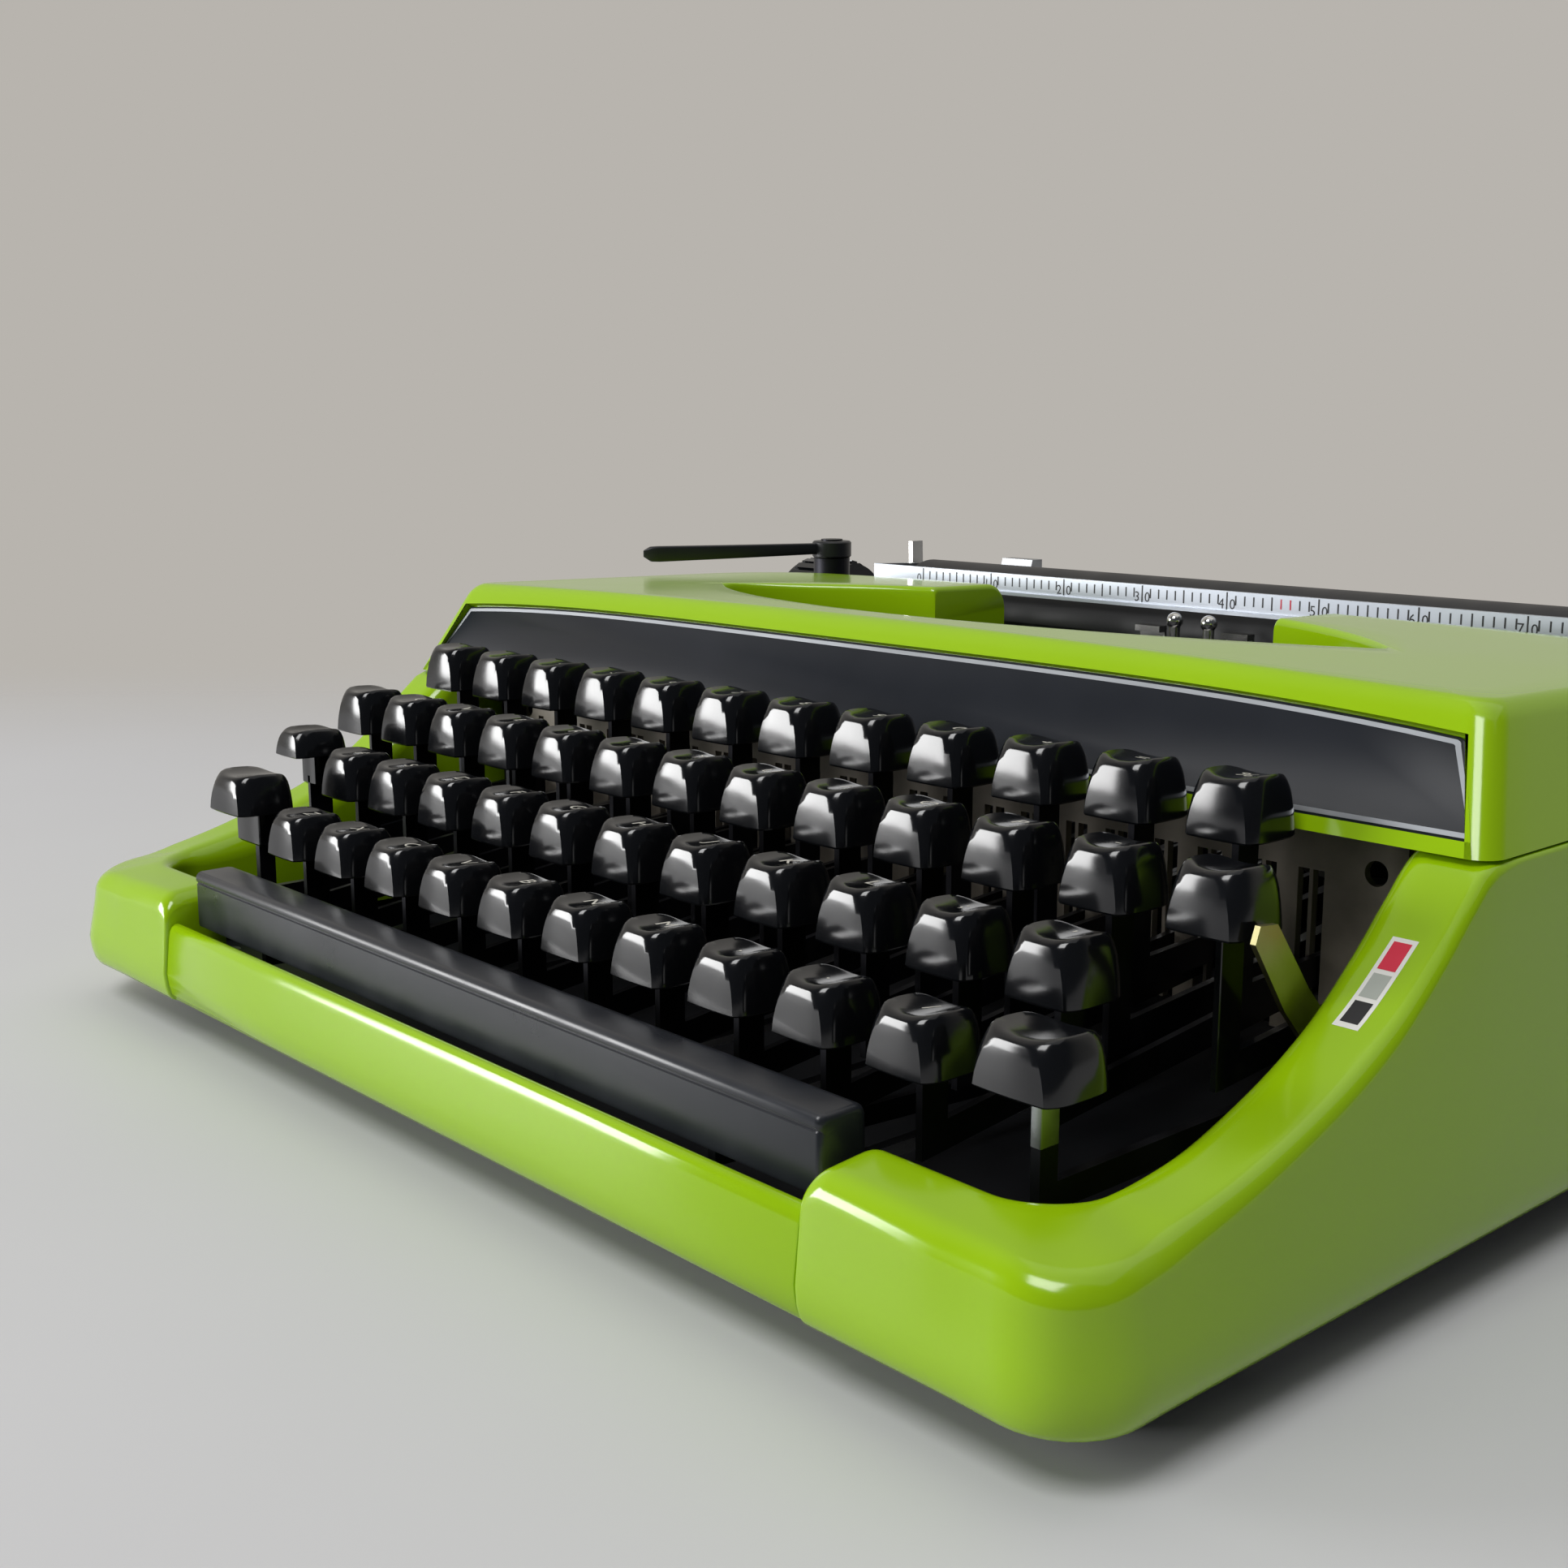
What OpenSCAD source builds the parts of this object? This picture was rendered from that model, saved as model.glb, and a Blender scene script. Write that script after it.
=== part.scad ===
// Portable manual typewriter with a low moulded case and a hinged ribbon cover.
// Millimetres. X runs to the typist's right, Y to the back, Z up.
// The origin is on the table, under the middle of the machine.
// Inside the modules y is counted from the front edge of the case.

/* [Case] */
// width of the case
body_w = 280; // [278:0.5:284]
// depth of the case from front to back
body_d = 284; // [282:0.5:290]
// height of the rubber feet below the case
foot_h = 8; // [7:0.25:9]
// thickness of the case and cover mouldings
wall = 2.6; // [2.2:0.1:3]
// radius of the upright corners of the case
corner_r = 12; // [9:0.5:15]
// half width of the keyboard opening between the arms
open_x = 124; // [123.5:0.1:125]
// half length of the separate front rail
rail_x = 93; // [91:0.5:95]
// height of the case where the cover rests on it
seam_z = 63; // [62:0.25:64]
// height of the rear deck below the carriage
deck_z = 41; // [39:0.5:42]

/* [Cover] */
// half width of the ribbon cover at its foot
cover_x = 138; // [137:0.25:138.5]
// foot of the leaning front of the ribbon cover
cover_y = 86.6; // [86.4:0.1:87.4]
// height of the top of the cover at its middle
cover_z = 85.6; // [85:0.2:87]
// rise of the crowned top from its sides to its middle
crown = 2.2; // [1.5:0.1:2.6]
// radius of the pins that the cover swings on
hinge_r = 2; // [1.5:0.1:2.4]

/* [Keys] */
// distance between neighbouring keys of a row
key_pitch = 19.05; // [18.95:0.05:19.15]
// width of a key cap at its foot
cap_w = 13.2; // [12.6:0.1:13.8]
// depth of a key cap from front to back
cap_d = 11.4; // [11:0.1:11.6]
// height of a key cap
cap_h = 8.4; // [8:0.1:9]
// thickness of a key lever
lever_t = 1.2; // [1:0.1:1.4]
// radius of the rod that the key levers turn on
rod_r = 2; // [1.6:0.1:2.3]

/* [Carriage] */
// radius of the rubber platen
platen_r = 15; // [14.4:0.1:15.4]
// half length of the platen
platen_x = 105; // [102:0.5:106]
// radius of the platen's steel shaft
shaft_r = 4; // [3.5:0.1:4.4]
// radius of the platen knobs
knob_r = 13; // [11:0.5:14]
// radius of the paper feed roller
feed_r = 4; // [3.6:0.1:4.2]
// radius of the two rails that the carriage runs on
rail_r = 3; // [2.6:0.1:3.3]
// height of the paper bail's scale strip
strip_h = 5.2; // [4.6:0.1:5.6]

/* [Ribbon] */
// radius of a ribbon spool
spool_r = 18.5; // [17:0.25:19]
// height of a ribbon spool
spool_h = 14; // [13:0.25:15]

/* [Fits] */
// radial clearance of every turning or sliding fit
run_fit = 0.06; // [0.03:0.01:0.09]
// gap between neighbouring mouldings
seam_gap = 0.3; // [0.2:0.05:0.5]

/* [Hidden] */
$fn = 48;
plate_t = 1.2;
base_z = foot_h + plate_t;
frame_x = 122;
frame_t = 1.2;
// front edge of the keyboard opening
open_y = 13.6;
// lean of the cover's front and flare of its ends, per mm of height, and the fall of its top
lean = 0.55;
flare = 0.33;
cover_fall = 2.2;
cover_foot = seam_z + seam_gap;
cover_tilt = atan(cover_fall / (194 - cover_y - 10));
// key rows, counted from the row nearest the typist
row_y = [20.8, 38.75, 56.7, 74.65];
row_z = [45.9, 54.75, 63.6, 72.45];
row_n = [10, 11, 11, 12];
row_x = [5.5, 4.65, -1.3, -2.2];
foot_z = [26, 29, 33, 37];
side_key_x = 6 * key_pitch;
fulcrum_y = 150;
fulcrum_z = 40;
shift_y = 146;
shift_z = 24;
shift_x = [-101.5, 111.4];
shift_top = [row_z[0] + 5, row_z[0] + 2];
shift_skirt = 7.6;
shift_post = [8, 2];
lock_x = -111;
space_y = 140;
space_z = 15;
space_arm_x = [-65, 68];
comb_x = 117.6;
comb_y = 101;
select_y = 82;
select_z = 26;
hinge_y = 186;
hinge_z = 67;
spool_x = 102;
spool_y = 128;
spool_z = 52;
print_y = 210;
bar_n = 44;
bar_step = 2.5;
seg_r = 46;
platen_y = 230;
platen_z = 69;
feed_y = platen_y - 0.5 * (platen_r + feed_r + 0.35);
feed_z = platen_z - 0.866 * (platen_r + feed_r + 0.35);
rail_y = [212, 250];
rail_z = 36;
end_x = 114;
bail_y = 244;
bail_z = 70;
lever_x = -128;
lever_y = 214;
tip_x = -146;
tip_y = 162;
lever_z = cover_z - 1.4;
wheel_y = 231;
wheel_z = 33.4;
drum_x = -84;
drum_y = 231;
drum_z = base_z + 10.2;
small_x = 120;
space_lever = [240, 60];
paper_lever = [246, 62];
free_lever = [232, 52];
feet = [[-118, 26], [118, 26], [-118, 258], [118, 258]];

// moves a module from front-edge counting to the origin at the middle
module place() {
  translate([0, -body_d / 2, 0]) children();
}

// extrudes a y,z outline along X between two x values
module slab(x0, x1) {
  translate([x0, 0, 0]) rotate([90, 0, 90]) linear_extrude(x1 - x0) children();
}

// round bar along X
module rod_x(x0, x1, y, z, r) {
  translate([x0, y, z]) rotate([0, 90, 0]) cylinder(r = r, h = x1 - x0);
}

// box from two opposite corners
module span(a, b) {
  translate(a) cube(b - a);
}

// plan rectangle with rounded corners
module round_plan(x0, y0, x1, y1, r) {
  translate([x0 + r, y0]) square([x1 - x0 - 2 * r, y1 - y0]);
  translate([x0, y0 + r]) square([x1 - x0, y1 - y0 - 2 * r]);
  for (x = [x0 + r, x1 - r]) {
    for (y = [y0 + r, y1 - r]) {
      translate([x, y]) circle(r);
    }
  }
}

// side outline of the case, drawn in by a wall thickness where t is not zero
module case_side(t) {
  d = body_d - t;
  polygon([
    [t + 3, t == 0 ? foot_h : 0], [t + 0.6, t == 0 ? foot_h + 3.5 : 0],
    [t, foot_h + 6], [t + 1.2, 23.6 - t], [t + 2.6, 26.8 - t], [t + 5.2, 29.2 - t],
    [t + 10, 30.4 - t], [t + 34, 32.6 - t], [t + 48, 36.8 - t], [t + 64, 44.2 - t],
    [t + 76, seam_z - 9.8 - t], [cover_y + 1.4 + t, seam_z - t],
    [196 + t, seam_z - t], [200 + t, deck_z - t], [d - 8, deck_z - t],
    [d - 2.4, deck_z - 4 - t], [d, deck_z - 12 - t], [d, t == 0 ? foot_h + 4 : 0],
    [d - 3, t == 0 ? foot_h : 0]
  ]);
}

module lower_case() {
  w = body_w / 2;
  color([0.62, 0.75, 0.10])
  difference() {
    intersection() {
      slab(-w, w) case_side(0);
      linear_extrude(100) round_plan(-w, 0, w, body_d, corner_r);
    }
    difference() {
      intersection() {
        slab(-w + wall, w - wall) case_side(wall);
        translate([0, 0, -1]) linear_extrude(100)
          round_plan(-w + wall, wall, w - wall, body_d - wall, corner_r - wall);
      }
      // walls that turn down round the keyboard opening and close the front blocks
      translate([0, 0, 12]) linear_extrude(90)
        round_plan(-open_x - wall, open_y - wall, open_x + wall, 126, 9 + wall);
      span([-rail_x - seam_gap - wall, 0, 12], [rail_x + seam_gap + wall, open_y, 40]);
    }
    // keyboard opening, and the well below the cover
    translate([0, 0, 11]) linear_extrude(90) round_plan(-open_x, open_y, open_x, 150, 9);
    span([-open_x - 6, cover_y + 6, 45], [open_x + 6, 198, 100]);
    // slot for the carriage
    span([-open_x, 197, 30], [open_x, 268, 100]);
    // place of the front rail
    span([-rail_x - seam_gap, -1, 0], [rail_x + seam_gap, open_y + 1, 40]);
  }
}

module front_rail() {
  color([0.64, 0.77, 0.12])
  slab(-rail_x, rail_x)
    polygon([[3.2, foot_h], [0.8, foot_h + 3.5], [0.3, foot_h + 6], [1.4, 22.6], [2.2, 23.8],
             [3, 24.1], [3.8, 23.8], [4.2, 22.8], [3.2, foot_h + 6], [3.8, foot_h + 2.8],
             [11, foot_h + 2.8], [11, base_z], [8.8, base_z], [8.8, foot_h]]);
}

module base_plate() {
  w = body_w / 2 - wall - 0.2;
  color([0.30, 0.31, 0.32])
  difference() {
    translate([0, 0, foot_h]) linear_extrude(plate_t)
      round_plan(-w, 9, w, body_d - wall - 0.6, corner_r - wall);
    for (x = [-60, -30, 0, 30, 60]) {
      for (y = [60, 190]) {
        translate([x, y, 0]) linear_extrude(20) round_plan(-3, -24, 3, 24, 3);
      }
    }
    for (p = feet) {
      translate([p[0], p[1], 0]) cylinder(r = 2.1, h = 20);
    }
  }
}

module rubber_feet() {
  color([0.09, 0.09, 0.09])
  for (p = feet) {
    translate([p[0], p[1], 0])
    difference() {
      union() {
        cylinder(r = 9, h = 2);
        translate([0, 0, 2]) cylinder(r1 = 9, r2 = 7.5, h = foot_h - 2);
      }
      translate([0, 0, -1]) cylinder(r = 4, h = 5);
      cylinder(r = 2, h = foot_h + 1);
    }
  }
}

module case_screws() {
  color([0.68, 0.69, 0.70])
  for (p = feet) {
    translate([p[0], p[1], 0])
    difference() {
      union() {
        translate([0, 0, 2.2]) cylinder(r = 3.6, h = 1.8);
        translate([0, 0, 4]) cylinder(r = 2, h = base_z - 4);
      }
      span([-3, -0.5, 2], [3, 0.5, 3]);
    }
  }
}

// half width of the cover at height z, drawn in by t
function cover_w(z, t) = cover_x - t - flare * (z - cover_foot);

// crowned top of the cover at x, drawn in by t
function cover_crown(x, t) = cover_z - t - crown * pow(x / cover_x, 2);

// outline of the cover across the machine
module cover_section(t) {
  z = cover_crown(cover_w(cover_z - crown, t), t);
  w = cover_w(z - 3, t);
  n = 12;
  polygon(concat(
    [[cover_w(seam_z - 2, t), seam_z - 2], [w, z - 3], [w - 1.1, z - 0.9]],
    [for (i = [0 : n]) let (x = (w - 3.6) * (1 - 2 * i / n)) [x, cover_crown(x, t)]],
    [[1.1 - w, z - 0.9], [-w, z - 3], [-cover_w(seam_z - 2, t), seam_z - 2]]
  ));
}

// side outline of the cover with its leaning front
module cover_side(t) {
  z = cover_z + 1 - t;
  low = t == 0 ? 0 : 5;
  y = cover_y + (t == 0 ? 0 : t + 2);
  f = y + lean * (z - 7 - cover_foot);
  polygon([
    [y - lean * low, cover_foot - low], [f, z - 7], [f + 2.4, z - 3.8], [f + 5.2, z - 1.7],
    [f + 9, z], [194 - t, z], [194 - t, 70 - (t == 0 ? 0 : 14)],
    [184 - t, cover_foot - (t == 0 ? 0 : 7)]
  ]);
}

// lens shaped opening over the type basket, grown by g
module lens(g) {
  intersection() {
    translate([0, 247]) circle(137 + g, $fn = 160);
    translate([0, 55.5]) circle(123.4 + g, $fn = 160);
  }
}

module cover_plan(t) {
  round_plan(-cover_x + t, cover_y - 1, cover_x - t, 170, 5);
  round_plan(-cover_x + t, 140, cover_x - t, 195 - t, 22);
}

// the cover as a full block, drawn in by t
module cover_block(t) {
  intersection() {
    translate([0, cover_y + 10, cover_z]) rotate([-cover_tilt, 0, 0])
      translate([0, 120, -cover_z]) rotate([90, 0, 0]) linear_extrude(140) cover_section(t);
    slab(-cover_x, cover_x) cover_side(t);
    linear_extrude(120) cover_plan(t);
  }
}

// plate in the plane of the leaning front, from depth a to b, drawn in by g
module panel(a, b, g) {
  translate([0, cover_y, cover_foot]) rotate([-atan(lean), 0, 0])
  translate([0, b, 0]) rotate([90, 0, 0]) linear_extrude(b - a)
    polygon([[g - cover_x + 3.8, 2.4 + g], [cover_x - 3.8 - g, 2.4 + g],
             [cover_x - 9.5 - g, 17.4 - g], [g - cover_x + 9.5, 17.4 - g]]);
}

module ribbon_cover() {
  color([0.63, 0.76, 0.10])
  difference() {
    union() {
      difference() {
        cover_block(0);
        cover_block(wall);
      }
      // rim that turns down round the opening
      intersection() {
        translate([0, 0, 76]) linear_extrude(12) lens(2);
        cover_block(1);
      }
      // ears that carry the hinge pins
      for (s = [-1, 1]) {
        slab(s * 116 - 2, s * 116 + 2)
          polygon([[hinge_y - 4.5, hinge_z - 3], [hinge_y + 3, hinge_z - 3],
                   [hinge_y + 3.6, hinge_z + 8], [hinge_y + 3.6, cover_z - 5],
                   [hinge_y - 9, cover_z - 5]]);
      }
    }
    translate([0, 0, 50]) linear_extrude(60) lens(0);
    // gap that lets the type reach the platen
    translate([0, 0, 50]) linear_extrude(60) round_plan(-46, 150, 46, 230, 4);
    // sunk seat of the name panel
    panel(-2, 1.6, 0);
    rod_x(-130, 130, hinge_y, hinge_z, hinge_r + run_fit);
  }
}

module name_panel() {
  color([0.16, 0.17, 0.19])
  difference() {
    panel(0.8, 1.6, 0.2);
    panel(0, 1.05, 1.5);
  }
}

module cover_hinge_pins() {
  color([0.72, 0.73, 0.74])
  for (s = [-1, 1]) {
    rod_x(s * 116.5 - 5, s * 116.5 + 5, hinge_y, hinge_z, hinge_r);
  }
}

// side outline of the steel frame plates
module frame_side() {
  polygon([[76, base_z], [272, base_z], [272, 32], [262, 40], [202, 40], [196, 60],
           [comb_y + 12, 60], [comb_y, 60], [comb_y, 34], [76, 34]]);
}

module main_frame() {
  color([0.50, 0.52, 0.54])
  difference() {
    union() {
      for (s = [-1, 1]) {
        slab(s * (frame_x + frame_t / 2) - frame_t / 2, s * (frame_x + frame_t / 2) + frame_t / 2)
          frame_side();
        // posts that hold the hinge pins of the cover
        slab(s * 120.6 - 1.6, s * 120.6 + 1.6) {
          translate([hinge_y - 3, 40]) square([6, hinge_z - 40]);
          translate([hinge_y, hinge_z]) circle(3);
        }
      }
      span([-frame_x, 196, base_z], [frame_x, 197.6, 33]);
      span([-40, 194, 30], [40, 196, 50]);
      span([-40, 196, 30], [40, 197.6, 50]);
      span([-frame_x, 266, base_z], [frame_x, 268, 30]);
      // ledges under the spool cups
      for (s = [-1, 1]) {
        span([s * 102.5 - 20.5, 146.8, 45.4], [s * 102.5 + 20.5, 148.4, spool_z - 1.5]);
        span([s * 102.5 - 20.5, 146.8, 45.4], [s * 102.5 + 20.5, 160, 47]);
      }
      // pin of the ribbon colour lever
      rod_x(120.1, frame_x + 1, select_y, select_z, 2.4);
      // floor strap and bracket of the escapement wheel, and the two pivot pins
      span([-8, 196, base_z], [8, 268, base_z + 1.6]);
      span([-4, wheel_y + 3, base_z], [4, wheel_y + 5, wheel_z + 3.2]);
      translate([0, wheel_y + 4, wheel_z]) rotate([90, 0, 0]) cylinder(r = 2.5, h = 8);
      translate([drum_x, 197, drum_z]) rotate([-90, 0, 0]) cylinder(r = 2.5, h = 42);
    }
    rod_x(-130, 130, fulcrum_y, fulcrum_z, rod_r);
    rod_x(-130, 130, shift_y, shift_z, rod_r + run_fit);
    rod_x(-130, 130, space_y, space_z, rod_r + run_fit);
    rod_x(-130, 130, hinge_y, hinge_z, hinge_r);
    for (y = rail_y) {
      rod_x(-130, 130, y, rail_z, rail_r);
    }
  }
}

// x of key i in row r
function key_x(r, i) = row_x[r] + (i - (row_n[r] - 1) / 2) * key_pitch;

module key_comb() {
  color([0.55, 0.55, 0.54])
  difference() {
    union() {
      span([-comb_x, comb_y, 27], [comb_x, comb_y + 1.5, 60]);
      span([-frame_x, comb_y, 27], [frame_x, comb_y + 1.5, 36]);
    }
    for (r = [0 : 3]) {
      for (i = [0 : row_n[r] - 1]) {
        span([key_x(r, i) - lever_t / 2 - 0.4, comb_y - 1, 20],
             [key_x(r, i) + lever_t / 2 + 0.4, comb_y + 3, 53.8]);
      }
    }
    for (x = [row_x[2] - side_key_x, row_x[2] + side_key_x, lock_x]) {
      span([x - lever_t / 2 - 0.4, comb_y - 1, 20], [x + lever_t / 2 + 0.4, comb_y + 3, 47]);
    }
    for (x = [5.2 - comb_x, comb_x - 5.2]) {
      translate([x, comb_y - 1, 55]) rotate([-90, 0, 0]) cylinder(r = 2, h = 4);
    }
  }
}

module fulcrum_rod() {
  color([0.70, 0.71, 0.72])
  rod_x(-frame_x - frame_t, frame_x + frame_t, fulcrum_y, fulcrum_z, rod_r);
}

module guide_rails() {
  color([0.74, 0.75, 0.76])
  for (y = rail_y) {
    rod_x(-frame_x - frame_t, frame_x + frame_t, y, rail_z, rail_r);
  }
}

module type_segment() {
  color([0.60, 0.61, 0.62])
  difference() {
    union() {
      translate([0, print_y, 0]) rotate([0, 0, 212])
        rotate_extrude(angle = 116, $fn = 120)
          translate([seg_r - 5, 34]) square([10, 11]);
      span([-26, 168, 36], [26, 194, 40]);
    }
    for (i = [0 : bar_n - 1]) {
      translate([0, print_y, 0]) rotate([0, 0, (i - (bar_n - 1) / 2) * bar_step])
        span([-0.65, -seg_r - 8, 37], [0.65, -seg_r + 4.2, 50]);
    }
  }
}

module typebars() {
  color([0.66, 0.67, 0.68])
  for (i = [0 : bar_n - 1]) {
    translate([0, print_y, 0]) rotate([0, 0, (i - (bar_n - 1) / 2) * bar_step]) {
      slab(-0.45, 0.45)
        polygon([[-seg_r + 3.8, 37], [-seg_r + 3.8, 42.5], [-seg_r - 2, 44], [-88, 74.6],
                 [-91, 74.6], [-91, 71.6], [-seg_r - 3, 37]]);
      slab(-1.25, 1.25)
        polygon([[-91, 70.6], [-91, 75.6], [-93.4, 75.6], [-93.4, 70.6]]);
    }
  }
}

module type_guide() {
  color([0.80, 0.81, 0.82])
  union() {
    span([-9, 197.6, 44], [9, 205, 50]);
    span([-9, 203, 44], [9, 205, 60]);
    for (s = [-1, 1]) {
      translate([s * 4.7, 206, 50]) cylinder(r = 1.3, h = 27);
      span([s * 4.7 - 1, 204, 50], [s * 4.7 + 1, 206, 60]);
    }
  }
}

module ribbon_vibrator() {
  color([0.78, 0.79, 0.80])
  union() {
    for (s = [-1, 1]) {
      span([s * 12 - 3.5, 207.4, 50], [s * 12 + 3.5, 208.2, 75]);
      span([s * 12 - 3.5, 205.4, 73.6], [s * 12 + 3.5, 208.2, 75]);
    }
    span([-15.5, 207.4, 46], [15.5, 208.2, 52]);
    span([-15.5, 197.6, 46], [-11, 208.2, 47.2]);
    span([11, 197.6, 46], [15.5, 208.2, 47.2]);
  }
}

module spool_cups() {
  color([0.48, 0.49, 0.50])
  for (s = [-1, 1]) {
    translate([s * spool_x, spool_y, spool_z - 1.5])
    union() {
      difference() {
        cylinder(r = spool_r + 0.4, h = 1.5);
        translate([0, 0, -1]) cylinder(r = 2, h = 4);
      }
      translate([-16, 10, 0]) cube([32, 10.4, 1.5]);
      cylinder(r = 2.4, h = spool_h + 3);
    }
  }
}

module spool(s) {
  translate([s * spool_x, spool_y, spool_z + 0.3])
  difference() {
    union() {
      cylinder(r = spool_r, h = 1);
      cylinder(r = spool_r - 3, h = spool_h);
      translate([0, 0, spool_h - 1]) cylinder(r = spool_r, h = 1);
    }
    translate([0, 0, -1]) cylinder(r = 2.4 + run_fit, h = spool_h + 2);
    for (a = [0 : 60 : 300]) {
      rotate([0, 0, a]) translate([9, 0, spool_h - 3]) cylinder(r = 3, h = 5);
    }
  }
}

module ribbon_spool_left() {
  color([0.14, 0.14, 0.15]) spool(-1);
}

module ribbon_spool_right() {
  color([0.14, 0.14, 0.15]) spool(1);
}

module ribbon() {
  dx = spool_x - 13 - 17;
  dy = 208.8 - (spool_y + spool_r + 0.6);
  len = sqrt(dx * dx + dy * dy);
  color([0.07, 0.07, 0.08])
  union() {
    for (s = [-1, 1]) {
      translate([s * (spool_x - 13), spool_y + spool_r + 0.6, spool_z + 2])
        rotate([0, 0, s < 0 ? atan2(dy, dx) : 180 - atan2(dy, dx)])
          translate([0, -0.2, 0]) cube([len + 0.15, 0.4, 9]);
    }
    span([-17.2, 208.6, spool_z + 2], [17.2, 209, spool_z + 11]);
  }
}

module selector_lever() {
  color([0.74, 0.72, 0.55])
  slab(120.9, 121.8)
  difference() {
    union() {
      polygon([[select_y - 3.6, select_z + 2], [select_y + 3.4, select_z + 3.4],
               [69.6, 45.6], [61.4, 56.2], [57.4, 56.6], [56.4, 54.2], [64, 43.4]]);
      translate([select_y, select_z]) circle(5.2);
    }
    translate([select_y, select_z]) circle(2.4 + run_fit);
  }
}

module escapement_wheel() {
  color([0.70, 0.66, 0.45])
  translate([0, wheel_y, wheel_z]) rotate([90, 0, 0])
  linear_extrude(2, center = true)
  difference() {
    polygon([for (i = [0 : 35]) let (a = i * 10, r = i % 2 == 0 ? 9 : 7.4)
      [r * cos(a), r * sin(a)]]);
    circle(2.5 + run_fit);
  }
}

module mainspring_drum() {
  color([0.58, 0.59, 0.60])
  translate([drum_x, drum_y, drum_z]) rotate([90, 0, 0])
  difference() {
    union() {
      cylinder(r = 8.6, h = 12, center = true);
      translate([0, 0, -6]) cylinder(r = 9.6, h = 1.4);
      translate([0, 0, 4.6]) cylinder(r = 9.6, h = 1.4);
    }
    cylinder(r = 2.5 + run_fit, h = 20, center = true);
  }
}

module carriage_frame() {
  color([0.46, 0.47, 0.49])
  difference() {
    union() {
      span([-end_x, 210, 43.4], [end_x, 257, 45]);
      for (s = [-1, 1]) {
        slab(s * (end_x + 1) - 1, s * (end_x + 1) + 1)
          polygon([[212, 43.4], [262.4, 43.4], [262.4, 58], [250, 74], [236, 78], [222, 78],
                   [212, 70]]);
        // pivot pins of the paper bail
        rod_x(s * 111 - 3.5, s * 111 + 3.5, bail_y, bail_z, 2);
        // bearings that run on the rails
        for (y = rail_y) {
          span([s * 18 - 7, y - 5, rail_z - 5], [s * 18 + 7, y + 5, 43.4]);
        }
      }
      // rack above the escapement wheel
      span([-end_x + 2, wheel_y - 2, wheel_z + 9.3], [end_x - 2, wheel_y + 2, 43.4]);
      // bracket and pin of the return lever
      span([lever_x - 7, lever_y - 5, 76], [-end_x - 1, lever_y + 7, 78]);
      translate([lever_x, lever_y, 77]) cylinder(r = 5, h = lever_z - 77.2);
      translate([lever_x, lever_y, 77]) cylinder(r = 3, h = lever_z - 77 + 5);
      // pivots of the small levers at the two ends
      rod_x(-end_x - 8, -end_x - 1, space_lever[0], space_lever[1], 2);
      rod_x(end_x + 1, end_x + 8, paper_lever[0], paper_lever[1], 2);
      rod_x(end_x + 1, end_x + 8, free_lever[0], free_lever[1], 2);
    }
    rod_x(-130, 130, platen_y, platen_z, shaft_r + run_fit);
    rod_x(-130, 130, feed_y, feed_z, 1.6 + run_fit);
    for (y = rail_y) {
      rod_x(-130, 130, y, rail_z, rail_r + run_fit);
    }
  }
}

module platen() {
  color([0.06, 0.06, 0.07])
  difference() {
    rod_x(-platen_x, platen_x, platen_y, platen_z, platen_r);
    rod_x(-platen_x - 1, platen_x + 1, platen_y, platen_z, shaft_r);
  }
}

module platen_shaft() {
  color([0.72, 0.73, 0.74])
  rod_x(-146, 146, platen_y, platen_z, shaft_r);
}

module knob(s, x1) {
  difference() {
    union() {
      rod_x(s < 0 ? -x1 : 136, s < 0 ? -136 : x1, platen_y, platen_z, knob_r - 1);
      for (a = [0 : 15 : 345]) {
        translate([s * 139, platen_y, platen_z]) rotate([a, 0, 0])
          translate([s < 0 ? -(x1 - 141) : 0, -1.1, knob_r - 2.4]) cube([x1 - 141, 2.2, 2.4]);
      }
    }
    rod_x(s < 0 ? -146 : 130, s < 0 ? -130 : 146, platen_y, platen_z, shaft_r);
  }
}

module knob_left() {
  color([0.08, 0.08, 0.09]) knob(-1, 155);
}

module knob_right() {
  color([0.08, 0.08, 0.09]) knob(1, 155);
}

module ratchet_wheel() {
  color([0.66, 0.67, 0.68])
  slab(-112.6, -110.6)
  translate([platen_y, platen_z])
  difference() {
    polygon([for (i = [0 : 63]) let (a = i * 360 / 64, r = i % 2 == 0 ? 11.6 : 10.4)
      [r * cos(a), r * sin(a)]]);
    circle(shaft_r);
  }
}

module paper_pan() {
  r = platen_r + 1.4;
  color([0.42, 0.43, 0.45])
  union() {
    difference() {
      slab(-106.5, 106.5)
      translate([platen_y, platen_z])
      difference() {
        circle(r + 1, $fn = 96);
        circle(r, $fn = 96);
        polygon([[0, 0], [-40, 6], [-40, 40], [40, 40], [40, 12]]);
      }
      // window for the feed roller
      span([-98, feed_y - 7.5, 40], [98, feed_y + 7.5, 60]);
    }
    // ribs that stand on the floor of the carriage
    for (x = [-100, -35, 35, 100]) {
      span([x - 2, platen_y + 6, 45], [x + 2, platen_y + 7.6, platen_z - r + 1.2]);
    }
  }
}

module feed_roller() {
  color([0.10, 0.10, 0.11])
  union() {
    rod_x(-end_x - 1.6, end_x + 1.6, feed_y, feed_z, 1.6);
    for (x = [-78, -26, 26, 78]) {
      rod_x(x - 18, x + 18, feed_y, feed_z, feed_r);
    }
  }
}

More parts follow.
